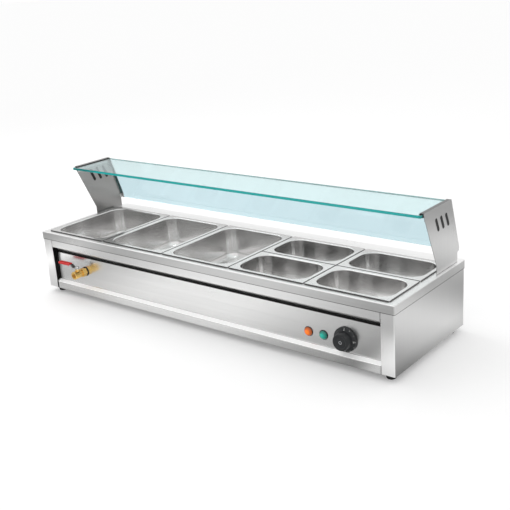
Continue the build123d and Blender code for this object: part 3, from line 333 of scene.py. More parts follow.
SMOOTH = {"contrast": 0.05, "depth": 0.05}
body_steel = steel("body_steel", (0.74, 0.74, 0.735), 0.30, ALONG_X)
cover_steel = steel("cover_steel", (0.74, 0.74, 0.735), 0.30, ALONG_X)
panel_steel = steel("panel_steel", (0.74, 0.74, 0.735), 0.24, ALONG_X, depth=0.06)
side_steel = steel("side_steel", (0.78, 0.78, 0.775), 0.30, ALONG_Z, cloudiness=0.06, **SMOOTH)
guard_steel = steel("guard_steel", (0.77, 0.77, 0.765), 0.28, ALONG_Z, cloudiness=0.06, **SMOOTH)
# A darker copy of the guard's steel for the left bracket: painted shade.
shaded_steel = steel("shaded_steel", (0.34, 0.335, 0.33), 0.30, ALONG_Z, contrast=0.06, depth=0.05)
pan_steel = steel("pan_steel", (0.78, 0.775, 0.77), 0.20, DRAWN, cloudiness=0.16, **SMOOTH)
well_steel = steel("well_steel", (0.62, 0.62, 0.61), 0.34, ALONG_X)
plain_steel = steel("plain_steel", (0.72, 0.72, 0.72), 0.26, TURNED, **SMOOTH)
element_steel = steel("element_steel", (0.40, 0.38, 0.36), 0.42, DULL, contrast=0.3, cloudiness=0.3)

pans = [name for name in nodes if name.startswith(("half_pan", "quarter_pan"))]
dress(cover_steel, "top_cover")
dress(body_steel, "header_rail", "rear_panel", "bottom_plate")
dress(panel_steel, "front_panel")
dress(side_steel, "left_side_panel", "right_side_panel")
dress(shaded_steel, "left_guard_bracket")
dress(guard_steel, "right_guard_bracket", "left_guard_mount")
dress(guard_steel, "right_guard_mount", "left_shelf_support", "right_shelf_support", "glass_clips")
dress(pan_steel, *pans)
dress(well_steel, "water_well", "divider_bars", "cross_bars", "element_supports")
dress(plain_steel, "valve_lever", "valve_stem", "lever_nut", "drain_pipe", "thermostat_shaft")
dress(plain_steel, "guard_bolts", "guard_nuts", "foot_screws", "foot_nuts", "element_nuts")
dress(plain_steel, "rear_panel_screws", "thermostat_body", "valve_ball")
dress(element_steel, "heating_element")
print("steel finishes:", len([m for m in bpy.data.materials if "steel" in m.name]))

# %% [markdown]
# Each sheet then gets its own painted light and shade, most of it placed by its edges in the
# frame. The cover has a painted shadow line at the foot of its lip, painted shade on the lip
# and painted light on its top. The panel has painted shadow, nearly black, under the header
# and beside the left post, and painted light makes its ledge the brightest band of the front.
# Painted light brightens the posts downwards, painted shade darkens the side panels towards
# the foot, and painted shade darkens the guard towards its top and along the cut edges of its sheet.

# %% the cover's lines and tones
# Painted shadow line under the lip and painted shade on the lip.
LIP_LINE, LIP_LINE_SHADE = 0.0016, 0.25
LIP_SHADE = 0.74
LIP_BEND, TOP_BEND = 0.0010, 0.0024
# Painted light on the top of the cover, stronger behind the pans.
TOP_PAINTED_LIGHT, BACK_PAINTED_LIGHT = 0.10, 0.16
cover_low, cover_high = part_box("top_cover")
rim_low, rim_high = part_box("half_pan_1")


def shade_cover():
    """Paint a shadow line under the lip, paint shade on the lip and paint light on the top of the
    cover.
    """
    tree = cover_steel.node_tree
    at = object_axes(tree)
    # Painted shadow: a dark line at the foot of the lip.
    above_lip = math_node(tree, "SUBTRACT", at["Z"], cover_low[2])
    darken(tree, [seam(tree, above_lip, LIP_LINE)], LIP_LINE_SHADE)
    # Painted shade on the front of the lip.
    under_top = math_node(tree, "LESS_THAN", at["Z"], cover_high[2] - TOP_BEND)
    on_front = math_node(tree, "LESS_THAN", at["Y"], cover_low[1] + LIP_BEND)
    darken(tree, [math_node(tree, "MULTIPLY", under_top, on_front)], LIP_SHADE)
    # Painted light on the top of the cover, stronger behind the pans.
    behind_pans = math_node(tree, "GREATER_THAN", at["Y"], rim_high[1])
    top_painted_light = math_node(tree, "MULTIPLY", behind_pans, BACK_PAINTED_LIGHT)
    top_painted_light = math_node(tree, "ADD", top_painted_light, TOP_PAINTED_LIGHT)
    on_top = math_node(tree, "SUBTRACT", 1.0, under_top)
    glow_tone(tree, math_node(tree, "MULTIPLY", on_top, top_painted_light))


shade_cover()
print("cover shaded between", round(cover_low[2], 3), "and", round(cover_high[2], 3), "m")

# %% the panel's lines and tones
HEADER_SHADOW, POST_SHADOW, SHADOW_SHADE = 0.0052, 0.0060, 0.02
LEDGE_LOW, LEDGE_HIGH = 0.0425, 0.0488
# Painted light on the ledge, and a rougher surface there.
LEDGE_PAINTED_LIGHT, LEDGE_ROUGHNESS = 0.40, 0.35
panel_low, panel_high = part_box("front_panel")


def shade_panel():
    """Paint shadow, nearly black, on the panel under the header and beside the post, and paint light on
    its ledge.
    """
    tree = panel_steel.node_tree
    shader = tree.nodes["Principled BSDF"]
    at = object_axes(tree)
    # Painted shadow, nearly black, under the header and beside the left post.
    from_top = math_node(tree, "SUBTRACT", panel_high[2], at["Z"])
    from_left = math_node(tree, "SUBTRACT", at["X"], panel_low[0])
    edges = [seam(tree, from_top, HEADER_SHADOW), seam(tree, from_left, POST_SHADOW)]
    darken(tree, edges, SHADOW_SHADE)
    # Painted light on the ledge.
    over_rail = math_node(tree, "GREATER_THAN", at["Z"], LEDGE_LOW)
    under_face = math_node(tree, "LESS_THAN", at["Z"], LEDGE_HIGH)
    on_ledge = math_node(tree, "MULTIPLY", over_rail, under_face)
    glow_tone(tree, math_node(tree, "MULTIPLY", on_ledge, LEDGE_PAINTED_LIGHT))
    smooth = shader.inputs["Roughness"].links[0].from_socket
    matt = math_node(tree, "MULTIPLY", on_ledge, LEDGE_ROUGHNESS)
    join(tree, math_node(tree, "ADD", smooth, matt, clamp=True), shader.inputs["Roughness"])


shade_panel()
print("ledge between", LEDGE_LOW, "and", LEDGE_HIGH, "m")

# %% the tones of the guard and the side panels
GUARD_FADE, GUARD_SHADE = (0.300, 0.405), 0.70
EDGE_FACING, EDGE_SHADE = 0.5, 0.45
# Painted shade towards the foot of the side panels.
FOOT_FADE, FOOT_SHADE = (0.010, 0.070), 0.80
# Painted light on the posts.
POST_FADE, POST_PAINTED_LIGHT, POST_BEND = (0.10, 0.16), 0.20, 0.0015
side_low, side_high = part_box("left_side_panel")


def shade_guard():
    """Paint shade on the guard, darker towards its top and along the cut edges of its sheet."""
    tree = guard_steel.node_tree
    at = object_axes(tree)
    # Painted shade, darker towards the top.
    scale_color(tree, fade(tree, at["Z"], *GUARD_FADE, 1.0, GUARD_SHADE))
    # Painted shade on the edge faces of the sheet.
    place = add_node(tree, "ShaderNodeTexCoord")
    turned = add_node(tree, "ShaderNodeSeparateXYZ")
    join(tree, place.outputs["Normal"], turned.inputs[0])
    sideways = math_node(tree, "ABSOLUTE", turned.outputs["X"])
    darken(tree, [math_node(tree, "LESS_THAN", sideways, EDGE_FACING)], EDGE_SHADE)


def shade_sides():
    """Paint shade on the side panels towards the foot and paint light on their posts, brighter
    downwards.
    """
    tree = side_steel.node_tree
    at = object_axes(tree)
    # Painted shade towards the foot.
    scale_color(tree, fade(tree, at["Z"], *FOOT_FADE, FOOT_SHADE, 1.0))
    # Painted light on the posts, brighter downwards.
    on_post = math_node(tree, "LESS_THAN", at["Y"], side_low[1] + POST_BEND)
    post_painted_light = fade(tree, at["Z"], *POST_FADE, POST_PAINTED_LIGHT, 0.0)
    glow_tone(tree, math_node(tree, "MULTIPLY", on_post, post_painted_light))


shade_guard()
shade_sides()
print("side panels", round(side_high[1] - side_low[1], 3), "m deep")

# %% the painted shadow lines between the pans
RIM_LINE, BACK_LINE, RIM_SHADE = 0.0024, 0.0012, 0.12
pan_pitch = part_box("half_pan_2")[0][0] - rim_low[0]
rim_middle = (rim_low[1] + rim_high[1]) / 2


def shade_pans():
    """Paint a shadow line on the outermost millimetres of each pan's rim."""
    tree = pan_steel.node_tree
    at = object_axes(tree)
    # Across each column of pans, column runs from 0 at the left joint to 1 at the right one.
    column = math_node(tree, "ADD", math_node(tree, "DIVIDE", at["X"], pan_pitch), 0.5)
    column = math_node(tree, "FRACT", column)
    from_side = math_node(tree, "MINIMUM", column, math_node(tree, "SUBTRACT", 1.0, column))
    from_side = math_node(tree, "MULTIPLY", from_side, pan_pitch)
    from_middle = math_node(tree, "ABSOLUTE", math_node(tree, "SUBTRACT", at["Y"], rim_middle))
    # Half pans have no joint in the middle, so a metre more keeps the line off them.
    in_half_pans = math_node(tree, "LESS_THAN", at["X"], pan_pitch / 2)
    from_middle = math_node(tree, "ADD", from_middle, in_half_pans)
    from_front = math_node(tree, "SUBTRACT", at["Y"], rim_low[1])
    from_back = math_node(tree, "SUBTRACT", rim_high[1], at["Y"])
    # Painted shadow lines round each rim.
    edges = [seam(tree, edge, RIM_LINE) for edge in (from_side, from_front, from_middle)]
    edges.append(seam(tree, from_back, BACK_LINE))
    darken(tree, edges, RIM_SHADE)


shade_pans()
print("pans", round(pan_pitch, 3), "m apart")

# %% [markdown]
# Brass, rubber and plastics share a second group: a fine mottling that moves the colour
# and the roughness a little, and a shallow bump. Cast brass gets a coarse mottle, moulded
# plastic a fine one.

# %% the mottled finish group
PATCH_SHARE = 0.2


def build_mottle_group():
    """Colour, roughness and normal of a cast or moulded surface."""
    tree, start, end = shader_group(
        "mottled_finish",
        [
            ("Color", "NodeSocketColor", (0.5, 0.5, 0.5, 1.0)),
            ("Second color", "NodeSocketColor", (0.4, 0.4, 0.4, 1.0)),
            ("Scale", "NodeSocketFloat", 200.0),
            ("Roughness", "NodeSocketFloat", 0.4),
            ("Spread", "NodeSocketFloat", 0.1),
            ("Bump", "NodeSocketFloat", 0.1),
        ],
        [
            ("Color", "NodeSocketColor"),
            ("Roughness", "NodeSocketFloat"),
            ("Normal", "NodeSocketVector"),
        ],
    )
    place = add_node(tree, "ShaderNodeTexCoord")
    noise = add_node(tree, "ShaderNodeTexNoise", sockets={"Detail": 4.0, "Roughness": 0.6})
    join(tree, place.outputs["Object"], noise.inputs["Vector"])
    join(tree, start.outputs["Scale"], noise.inputs["Scale"])
    patches = add_node(tree, "ShaderNodeTexNoise", sockets={"Detail": 2.0})
    join(tree, place.outputs["Object"], patches.inputs["Vector"])
    patch_scale = math_node(tree, "MULTIPLY", start.outputs["Scale"], PATCH_SHARE)
    join(tree, patch_scale, patches.inputs["Scale"])
    first, second = start.outputs["Color"], start.outputs["Second color"]
    mixed = mix_colors(tree, patches.outputs["Fac"], first, second)
    tone = math_node(tree, "SUBTRACT", noise.outputs["Fac"], 0.5)
    rough = math_node(tree, "MULTIPLY", tone, start.outputs["Spread"])
    rough = math_node(tree, "ADD", rough, start.outputs["Roughness"], clamp=True)
    bump = add_node(tree, "ShaderNodeBump", sockets={"Distance": BUMP_DISTANCE})
    join(tree, start.outputs["Bump"], bump.inputs["Strength"])
    join(tree, noise.outputs["Fac"], bump.inputs["Height"])
    join(tree, mixed, end.inputs["Color"])
    join(tree, rough, end.inputs["Roughness"])
    join(tree, bump.outputs["Normal"], end.inputs["Normal"])
    return tree


mottle_group = build_mottle_group()


def mottled(name, color, second, scale, roughness, metallic=0.0, bump=0.1, spread=0.15, **plain):
    """Make one cast or moulded finish; extra values go to the shader's own sockets."""
    material, tree, shader = new_material(name)
    shader.inputs["Metallic"].default_value = metallic
    for label, value in plain.items():
        shader.inputs[label.replace("_", " ")].default_value = value
    values = {
        "Color": (*color, 1.0),
        "Second color": (*second, 1.0),
        "Scale": scale,
        "Roughness": roughness,
        "Spread": spread,
        "Bump": bump,
    }
    join_finish(tree, shader, mottle_group, values)
    return material


print("mottle group sockets:", [s.name for s in mottle_group.interface.items_tree])

# %% brass, rubber and plastic finishes
brass = mottled("valve_brass", (0.80, 0.50, 0.14), (0.86, 0.60, 0.22), 300.0, 0.24, metallic=1.0)
rubber = mottled("black_rubber", (0.012, 0.012, 0.012), (0.02, 0.02, 0.02), 700.0, 0.6, bump=0.2)
red_vinyl = mottled("red_vinyl", (0.62, 0.008, 0.010), (0.72, 0.014, 0.012), 150.0, 0.30, bump=0.08)
knob_black = mottled("knob_black", (0.014, 0.016, 0.018), (0.022, 0.024, 0.026), 500.0, 0.36, bump=0.06)
housing_black = mottled("housing_black", (0.02, 0.02, 0.02), (0.03, 0.03, 0.03), 500.0, 0.4)
seat_white = mottled("seat_white", (0.82, 0.82, 0.80), (0.76, 0.76, 0.74), 400.0, 0.4)
copper = mottled("copper_tube", (0.80, 0.42, 0.28), (0.70, 0.36, 0.24), 120.0, 0.35, metallic=1.0)
block_cream = mottled("block_cream", (0.72, 0.69, 0.60), (0.66, 0.63, 0.55), 300.0, 0.5)
JEWEL = {"bump": 0.5, "Coat_Weight": 0.6}
orange_lens = mottled(
    "orange_lens", (0.90, 0.14, 0.002), (1.0, 0.24, 0.004), 250.0, 0.12, **JEWEL,
    Emission_Color=(1.0, 0.16, 0.01, 1.0), Emission_Strength=0.18,
)
green_lens = mottled(
    "green_lens", (0.0, 0.28, 0.21), (0.002, 0.42, 0.33), 250.0, 0.12, **JEWEL,
    Emission_Color=(0.0, 0.45, 0.33, 1.0), Emission_Strength=0.14,
)
LENS_CORE, LENS_RIM = 0.003, 0.0115
# Painted highlight in the middle of each lens and painted shade towards its rim.
LENS_HIGHLIGHT, LENS_RIM_SHADE = 1.5, 0.35


def shade_lens(material, name):
    """Paint a highlight in the middle of a lens and shade towards its rim."""
    low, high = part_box(name)
    tree = material.node_tree
    at = object_axes(tree)
    across = math_node(tree, "SUBTRACT", at["X"], (low[0] + high[0]) / 2)
    up = math_node(tree, "SUBTRACT", at["Z"], (low[2] + high[2]) / 2)
    squares = [math_node(tree, "POWER", length, 2.0) for length in (across, up)]
    radius = math_node(tree, "SQRT", math_node(tree, "ADD", *squares))
    # Painted highlight in the middle and painted shade towards the rim.
    scale_color(tree, fade(tree, radius, LENS_CORE, LENS_RIM, LENS_HIGHLIGHT, LENS_RIM_SHADE))


shade_lens(orange_lens, "orange_lamp_lens")
shade_lens(green_lens, "green_lamp_lens")

dress(brass, "valve_inlet", "valve_body")
dress(rubber, "front_left_foot", "front_right_foot", "rear_left_foot", "rear_right_foot")
dress(rubber, "left_glass_channel", "right_glass_channel", "valve_washer")
dress(red_vinyl, "lever_sleeve")
dress(knob_black, "thermostat_knob")
dress(housing_black, "orange_lamp_housing", "green_lamp_housing", "cable_gland")
dress(seat_white, "valve_seats")
dress(copper, "sensing_bulb")
dress(block_cream, "terminal_block")
dress(orange_lens, "orange_lamp_lens")
dress(green_lens, "green_lamp_lens")
print("moulded finishes ready")

# %% [markdown]
# Sheet glass looks clear through its faces and deep green through its edges, because the
# light there has travelled a long way inside the glass. A mask picks out the edge faces
# from the surface's own direction and moves the colour from pale to deep green. The edges
# also glow a little, as they do when light that entered elsewhere comes out there. Only the
# camera sees the faces tinted, so the steel around them isn't washed in blue.

# %% the two panes of glass
NEAR_CLEAR, BLACK = (0.95, 0.98, 0.98), (0.0, 0.0, 0.0)
EDGE_TINT = (0.0, 0.20, 0.19)
GLASS_IOR = 1.5
BROAD = 0.9
SMEAR_ROUGHNESS, EDGE_ROUGHNESS = 0.02, 0.25
REAR_LEAN = math.radians(18.32)


def pane_material(name, face_direction, face_color, edge_glow):
    """Make glass for a flat pane whose broad faces look along face_direction."""
    material, tree, shader = new_material(name)
    shader.inputs["IOR"].default_value = GLASS_IOR
    shader.inputs["Transmission Weight"].default_value = 1.0
    shader.inputs["Emission Strength"].default_value = 1.0
    place = add_node(tree, "ShaderNodeTexCoord")
    facing = add_node(tree, "ShaderNodeVectorMath", operation="DOT_PRODUCT")
    facing.inputs[1].default_value = face_direction
    join(tree, place.outputs["Normal"], facing.inputs[0])
    broad = math_node(tree, "ABSOLUTE", facing.outputs["Value"])
    edge = math_node(tree, "LESS_THAN", broad, BROAD)
    smears = add_node(tree, "ShaderNodeTexNoise", sockets={"Scale": 5.0, "Detail": 3.0})
    join(tree, place.outputs["Object"], smears.inputs["Vector"])
    path = add_node(tree, "ShaderNodeLightPath")
    face = mix_colors(tree, path.outputs["Is Camera Ray"], NEAR_CLEAR, face_color)
    join(tree, mix_colors(tree, edge, face, EDGE_TINT), shader.inputs["Base Color"])
    glow = mix_colors(tree, edge, BLACK, edge_glow)
    join(tree, glow, shader.inputs["Emission Color"])
    rough = math_node(tree, "MULTIPLY", smears.outputs["Fac"], SMEAR_ROUGHNESS)
    edge_rough = math_node(tree, "MULTIPLY", edge, EDGE_ROUGHNESS)
    join(tree, math_node(tree, "ADD", rough, edge_rough), shader.inputs["Roughness"])
    return material


shelf_glass = pane_material("shelf_glass", (0.0, 0.0, 1.0), (0.62, 0.96, 1.0), (0.0, 0.15, 0.145))
rear_direction = (0.0, math.cos(REAR_LEAN), math.sin(REAR_LEAN))
back_glass = pane_material("rear_glass", rear_direction, (0.36, 0.58, 0.66), (0.0, 0.07, 0.06))
dress(shelf_glass, "shelf_glass")
dress(back_glass, "rear_glass")
for name in ("shelf_glass", "rear_glass"):
    low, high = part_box(name)
    print(name, "is", round(high[0] - low[0], 3), "m long")

# %% [markdown]
# What is left are the small things that are easier here than in CAD. Most of them repeat:
# the ticks of the dial, the thread in the valve's mouth, the inserts in the guard's slots
# and the crosses in the screws. One Geometry Nodes tree repeats them all. It takes the mesh
# of a single copy and repeats it a number of times, with a step and a turn after each.

# %% the tree that repeats a shape
def build_repeat_tree():
    """Repeat the incoming mesh Count times, moved by Step and turned by Turn about Z."""
    tree = bpy.data.node_groups.new("repeat_shape", "GeometryNodeTree")
    tree.interface.new_socket(name="Geometry", in_out="INPUT", socket_type="NodeSocketGeometry")
    for label, kind in (
        ("Count", "NodeSocketInt"),
        ("Step", "NodeSocketVector"),
        ("Turn", "NodeSocketFloat"),
        ("Material", "NodeSocketMaterial"),
    ):
        tree.interface.new_socket(name=label, in_out="INPUT", socket_type=kind)
    tree.interface.new_socket(name="Geometry", in_out="OUTPUT", socket_type="NodeSocketGeometry")
    start, end = tree.nodes.new("NodeGroupInput"), tree.nodes.new("NodeGroupOutput")
    line = add_node(tree, "GeometryNodeMeshLine", mode="OFFSET")
    join(tree, start.outputs["Count"], line.inputs["Count"])
    join(tree, start.outputs["Step"], line.inputs["Offset"])
    index = add_node(tree, "GeometryNodeInputIndex")
    turn = math_node(tree, "MULTIPLY", index.outputs[0], start.outputs["Turn"])
    rotation = add_node(tree, "ShaderNodeCombineXYZ")
    join(tree, turn, rotation.inputs["Z"])
    copies = add_node(tree, "GeometryNodeInstanceOnPoints")
    join(tree, line.outputs["Mesh"], copies.inputs["Points"])
    join(tree, start.outputs["Geometry"], copies.inputs["Instance"])
    join(tree, rotation.outputs[0], copies.inputs["Rotation"])
    real = add_node(tree, "GeometryNodeRealizeInstances")
    join(tree, copies.outputs[0], real.inputs[0])
    painted = add_node(tree, "GeometryNodeSetMaterial")
    join(tree, real.outputs[0], painted.inputs["Geometry"])
    join(tree, start.outputs["Material"], painted.inputs["Material"])
    join(tree, painted.outputs[0], end.inputs[0])
    return tree


repeat_tree = build_repeat_tree()
socket_ids = {
    item.name: item.identifier
    for item in repeat_tree.interface.items_tree
    if item.in_out == "INPUT"
}


def repeated_mesh(mesh, material, count, step=(0.0, 0.0, 0.0), turn=0.0):
    """Give a plain mesh with count copies of mesh."""
    single = bpy.data.objects.new("single", mesh)
    scene.collection.objects.link(single)
    modifier = single.modifiers.new("repeat", "NODES")
    modifier.node_group = repeat_tree
    settings = {"Count": count, "Step": step, "Turn": turn, "Material": material}
    for label, value in settings.items():
        modifier[socket_ids[label]] = value
    ready = single.evaluated_get(bpy.context.evaluated_depsgraph_get())
    result = bpy.data.meshes.new_from_object(ready)
    single.modifiers.remove(modifier)
    bpy.data.objects.remove(single)
    return result


def place_piece(name, meshes, matrices, material, body):
    """Join meshes, each moved by its matrix, into one piece that rides on a body."""
    vertices, faces = [], []
    for mesh, matrix in zip(meshes, matrices):
        first = len(vertices)
        vertices += [matrix @ vertex.co for vertex in mesh.vertices]
        faces += [[first + corner for corner in polygon.vertices] for polygon in mesh.polygons]
    whole = bpy.data.meshes.new(name)
    whole.from_pydata(vertices, [], faces)
    whole.materials.append(material)
    piece = bpy.data.objects.new(name, whole)
    scene.collection.objects.link(piece)
    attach(piece, body)
    print(name, "has", len(whole.polygons), "faces on", body)


def middle_of(low, high):
    """Give the middle of a box."""
    return (Vector(low) + Vector(high)) / 2


print("inputs of the tree:", list(socket_ids))

# %% the shapes that are repeated
def plain_mesh(name, vertices, faces):
    """Make a mesh from lists of points and faces."""
    mesh = bpy.data.meshes.new(name)
    mesh.from_pydata(vertices, [], faces)
    return mesh


def prism(name, outline, low, high):
    """Make a closed prism from an outline that runs counterclockwise, seen from above."""
    count = len(outline)
    vertices = [(x, y, level) for level in (low, high) for x, y in outline]
    faces = [tuple(reversed(range(count))), tuple(range(count, 2 * count))]
    for corner in range(count):
        after = (corner + 1) % count
        faces.append((corner, after, count + after, count + corner))
    return plain_mesh(name, vertices, faces)


def slot_outline(length, width, corners=12):
    """Give the outline of a slot with round ends, its length along Y."""
    radius = width / 2
    points = []
    for end, start in ((length / 2 - radius, 0.0), (radius - length / 2, math.pi)):
        for corner in range(corners + 1):
            angle = start + math.pi * corner / corners
            points.append((radius * math.cos(angle), end + radius * math.sin(angle)))
    return points


def turned_ring(name, profile, corners=48):
    """Turn a closed profile of (radius, height) points round the Z axis."""
    vertices, faces = [], []
    for corner in range(corners):
        angle = 2 * math.pi * corner / corners
        vertices += [(r * math.cos(angle), r * math.sin(angle), h) for r, h in profile]
    size = len(profile)
    for corner in range(corners):
        here, there = corner * size, (corner + 1) % corners * size
        for step in range(size):
            after = (step + 1) % size
            faces.append((here + step, there + step, there + after, here + after))
    return plain_mesh(name, vertices, faces)


print("shapes ready: prism, slot and ring")

# %% [markdown]
# The dial carries white ticks and plain figures on its sloping skirt and a small bright
# ring in the middle of its grip. Local Z points out of the panel here and local Y up, so
# one matrix puts all of it on the knob.

# %% the dial's marks
OUTWARD = Matrix(((1, 0, 0, 0), (0, 0, -1, 0), (0, 1, 0, 0), (0, 0, 0, 1)))
SKIRT_RADIUS, SKIRT_EDGE, SKIRT_TOP, GRIP_RADIUS = 0.035, 0.005, 0.008, 0.025
SKIRT_SLOPE = (SKIRT_TOP - SKIRT_EDGE) / (SKIRT_RADIUS - GRIP_RADIUS)
DIAL_TURN = math.radians(270.0)
TICK_IN, TICK_OUT, TICK_HALF = 0.0318, 0.0342, 0.0005
FIGURE_RADIUS, FIGURE_SIZE = 0.0287, 0.0058
FIGURES = ("0", "", "", "30", "", "", "60", "", "", "90")
INK = 0.0003

knob_low, knob_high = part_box("thermostat_knob")
knob_middle = middle_of(knob_low, knob_high)
knob_back = Vector((knob_middle.x, knob_high[1], knob_middle.z))
on_knob = Matrix.Translation(knob_back) @ OUTWARD
white_ink = mottled("white_ink", (0.84, 0.84, 0.82), (0.76, 0.76, 0.74), 900.0, 0.5, bump=0.05)
tick_turn = -DIAL_TURN / (len(FIGURES) - 1)


def skirt_height(radius):
    """Height of the skirt's cone above the back of the knob."""
    return SKIRT_EDGE + (SKIRT_RADIUS - radius) * SKIRT_SLOPE


def tick_mesh():
    """Make the tick at the top of the dial, a thin bar laid on the skirt."""
    corners = [(-1, TICK_IN), (1, TICK_IN), (1, TICK_OUT), (-1, TICK_OUT)]
    vertices = [
        (side * TICK_HALF, radius, skirt_height(radius) + face * INK)
        for face in (-1, 1)
        for side, radius in corners
    ]
    faces = [(3, 2, 1, 0), (4, 5, 6, 7), (0, 1, 5, 4), (1, 2, 6, 5), (2, 3, 7, 6), (3, 0, 4, 7)]
    return plain_mesh("tick", vertices, faces)


def figure_mesh(figure):
    """Turn a figure of the dial into a mesh."""
    text = bpy.data.curves.new("figure_" + figure, "FONT")
    text.body = figure
    text.size = FIGURE_SIZE
    text.extrude = INK
    text.align_x = "CENTER"
    text.align_y = "CENTER"
    holder = bpy.data.objects.new("figure_" + figure, text)
    scene.collection.objects.link(holder)
    ready = holder.evaluated_get(bpy.context.evaluated_depsgraph_get())
    shape = bpy.data.meshes.new_from_object(ready)
    bpy.data.objects.remove(holder)
    return shape


mark_meshes = [repeated_mesh(tick_mesh(), white_ink, len(FIGURES), turn=tick_turn)]
mark_places = [on_knob]
lift = Matrix.Translation((0.0, FIGURE_RADIUS, skirt_height(FIGURE_RADIUS)))
tilt = Matrix.Rotation(-math.atan(SKIRT_SLOPE), 4, "X")
for step, figure in enumerate(FIGURES):
    if figure:
        mark_meshes.append(figure_mesh(figure))
        mark_places.append(on_knob @ Matrix.Rotation(tick_turn * step, 4, "Z") @ lift @ tilt)
place_piece("dial_marks", mark_meshes, mark_places, white_ink, "dial")

# %% the ring on the dial's grip
GRIP_FACE = 0.0265
RING_IN, RING_OUT, RING_SLOPE = 0.0030, 0.0048, 0.0002
RING_SINK, RING_RISE = 0.0002, 0.0006
cap_metal = steel("cap_metal", (0.70, 0.71, 0.73), 0.25, TURNED, **SMOOTH)
ring_section = [
    (RING_IN, GRIP_FACE - RING_SINK),
    (RING_OUT, GRIP_FACE - RING_SINK),
    (RING_OUT - RING_SLOPE, GRIP_FACE + RING_RISE),
    (RING_IN + RING_SLOPE, GRIP_FACE + RING_RISE),
]
place_piece("dial_cap_ring", [turned_ring("cap_ring", ring_section)], [on_knob], cap_metal, "dial")

# %% [markdown]
# Each signal lamp has a cut lens that sparkles like a jewel. Flat facets in three tiers
# stand on the smooth dome of the model.

# %% the cut faces of the lamps
def cut_dome(name, rings, corners=9):
    """Stack rings of (radius, height) into a closed dome with flat facets."""
    vertices, faces = [], [tuple(reversed(range(corners)))]
    for level, (radius, height) in enumerate(rings):
        turn = math.pi * level / corners
        for corner in range(corners):
            angle = 2 * math.pi * corner / corners + turn
            vertices.append((radius * math.cos(angle), radius * math.sin(angle), height))
    for level in range(len(rings) - 1):
        low, high = level * corners, (level + 1) * corners
        for corner in range(corners):
            after = (corner + 1) % corners
            faces.append((low + corner, low + after, high + corner))
            faces.append((low + after, high + after, high + corner))
    top = (len(rings) - 1) * corners
    faces.append(tuple(range(top, top + corners)))
    return plain_mesh(name, vertices, faces)


LENS_TIERS = [(0.0100, -0.0031), (0.0094, -0.0018), (0.0062, -0.0003), (0.0030, 0.0006)]
dome = cut_dome("cut_dome", LENS_TIERS)
for node, lens in (("orange_lamp_lens", orange_lens), ("green_lamp_lens", green_lens)):
    low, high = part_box(node)
    lens_middle = middle_of(low, high)
    on_lens = Matrix.Translation((lens_middle.x, low[1], lens_middle.z)) @ OUTWARD
    place_piece(node + "_facets", [dome], [on_lens], lens, "base")

# %% [markdown]
# The mouth of the valve takes a hose tail, so a few rings of brass stand in for its thread.
# The mouth lies on the axis of the body's round end, one radius above its lowest point.

# %% the thread in the valve's mouth
VALVE_RADIUS, MOUTH_RADIUS = 0.0134, 0.0093
THREAD_DEPTH, THREAD_PITCH, THREAD_TURNS = 0.0007, 0.0014, 5
CREST_HALF, CREST_ROOT = 0.0005, 0.0001
valve_low, valve_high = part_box("valve_body")
mouth = Vector((middle_of(valve_low, valve_high).x, valve_low[1], valve_low[2] + VALVE_RADIUS))
crest_section = [
    (MOUTH_RADIUS + CREST_ROOT, -CREST_HALF),
    (MOUTH_RADIUS + CREST_ROOT, CREST_HALF),
    (MOUTH_RADIUS - THREAD_DEPTH, 0.0),
]
crest = turned_ring("thread_crest", crest_section)
thread = repeated_mesh(crest, brass, THREAD_TURNS, step=(0.0, 0.0, -THREAD_PITCH))
in_mouth = Matrix.Translation(mouth) @ OUTWARD @ Matrix.Translation((0.0, 0.0, -THREAD_PITCH / 2))
place_piece("outlet_thread", [thread], [in_mouth], brass, "base")

# %% [markdown]
# The slots of the guard look black on both brackets, although a white wall stands behind
# them, so each holds a black insert with a thin flange on both faces of the sheet: painted
# shade for the dark seen through the slots. The row leans with the front edge of the bracket.

# %% the painted-shade inserts in the guard's slots
SLOT_COUNT, SLOT_LENGTH, SLOT_WIDTH, SLOT_PITCH = 3, 0.040, 0.008, 0.0285
FIRST_SLOT_Y, SLOT_Z = 0.0481, 0.3590
FRONT_RUN, FRONT_RISE = 0.075, 0.166
SLOT_LEAN = math.atan2(FRONT_RUN, FRONT_RISE)
BRACKET_SHEET = 0.0015
PLUG_GAP = 0.0001
FLANGE, FLANGE_RIM = 0.0004, 0.0024
FACING_RIGHT = Matrix(((0, 0, 1, 0), (1, 0, 0, 0), (0, 1, 0, 0), (0, 0, 0, 1)))

plug_outline = slot_outline(SLOT_LENGTH - PLUG_GAP, SLOT_WIDTH - PLUG_GAP)
flange_outline = slot_outline(SLOT_LENGTH + FLANGE_RIM, SLOT_WIDTH + FLANGE_RIM)
insert_layers = [
    prism("insert_plug", plug_outline, 0.0, BRACKET_SHEET),
    prism("insert_inner_flange", flange_outline, -FLANGE, 0.0),
    prism("insert_outer_flange", flange_outline, BRACKET_SHEET, BRACKET_SHEET + FLANGE),
]
inserts = []
for layer in insert_layers:
    layer.transform(Matrix.Rotation(SLOT_LEAN, 4, "Z"))
    inserts.append(repeated_mesh(layer, rubber, SLOT_COUNT, step=(SLOT_PITCH, 0.0, 0.0)))
insert_places = []
for node in ("left_guard_bracket", "right_guard_bracket"):
    low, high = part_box(node)
    sheet_left = low[0] if low[0] < 0 else high[0] - BRACKET_SHEET
    in_sheet = Matrix.Translation((sheet_left, FIRST_SLOT_Y, SLOT_Z)) @ FACING_RIGHT
    insert_places += [in_sheet] * len(inserts)
# Black inserts: painted shade for the dark seen through the slots.
place_piece("slot_shade_inserts", inserts * 2, insert_places, rubber, "base")

# %% [markdown]
# The back is held by six screws in two columns of three. Each head gets a shallow black
# cross, painted shade for its cross recess, drawn once, repeated up the column and placed on both
# columns.

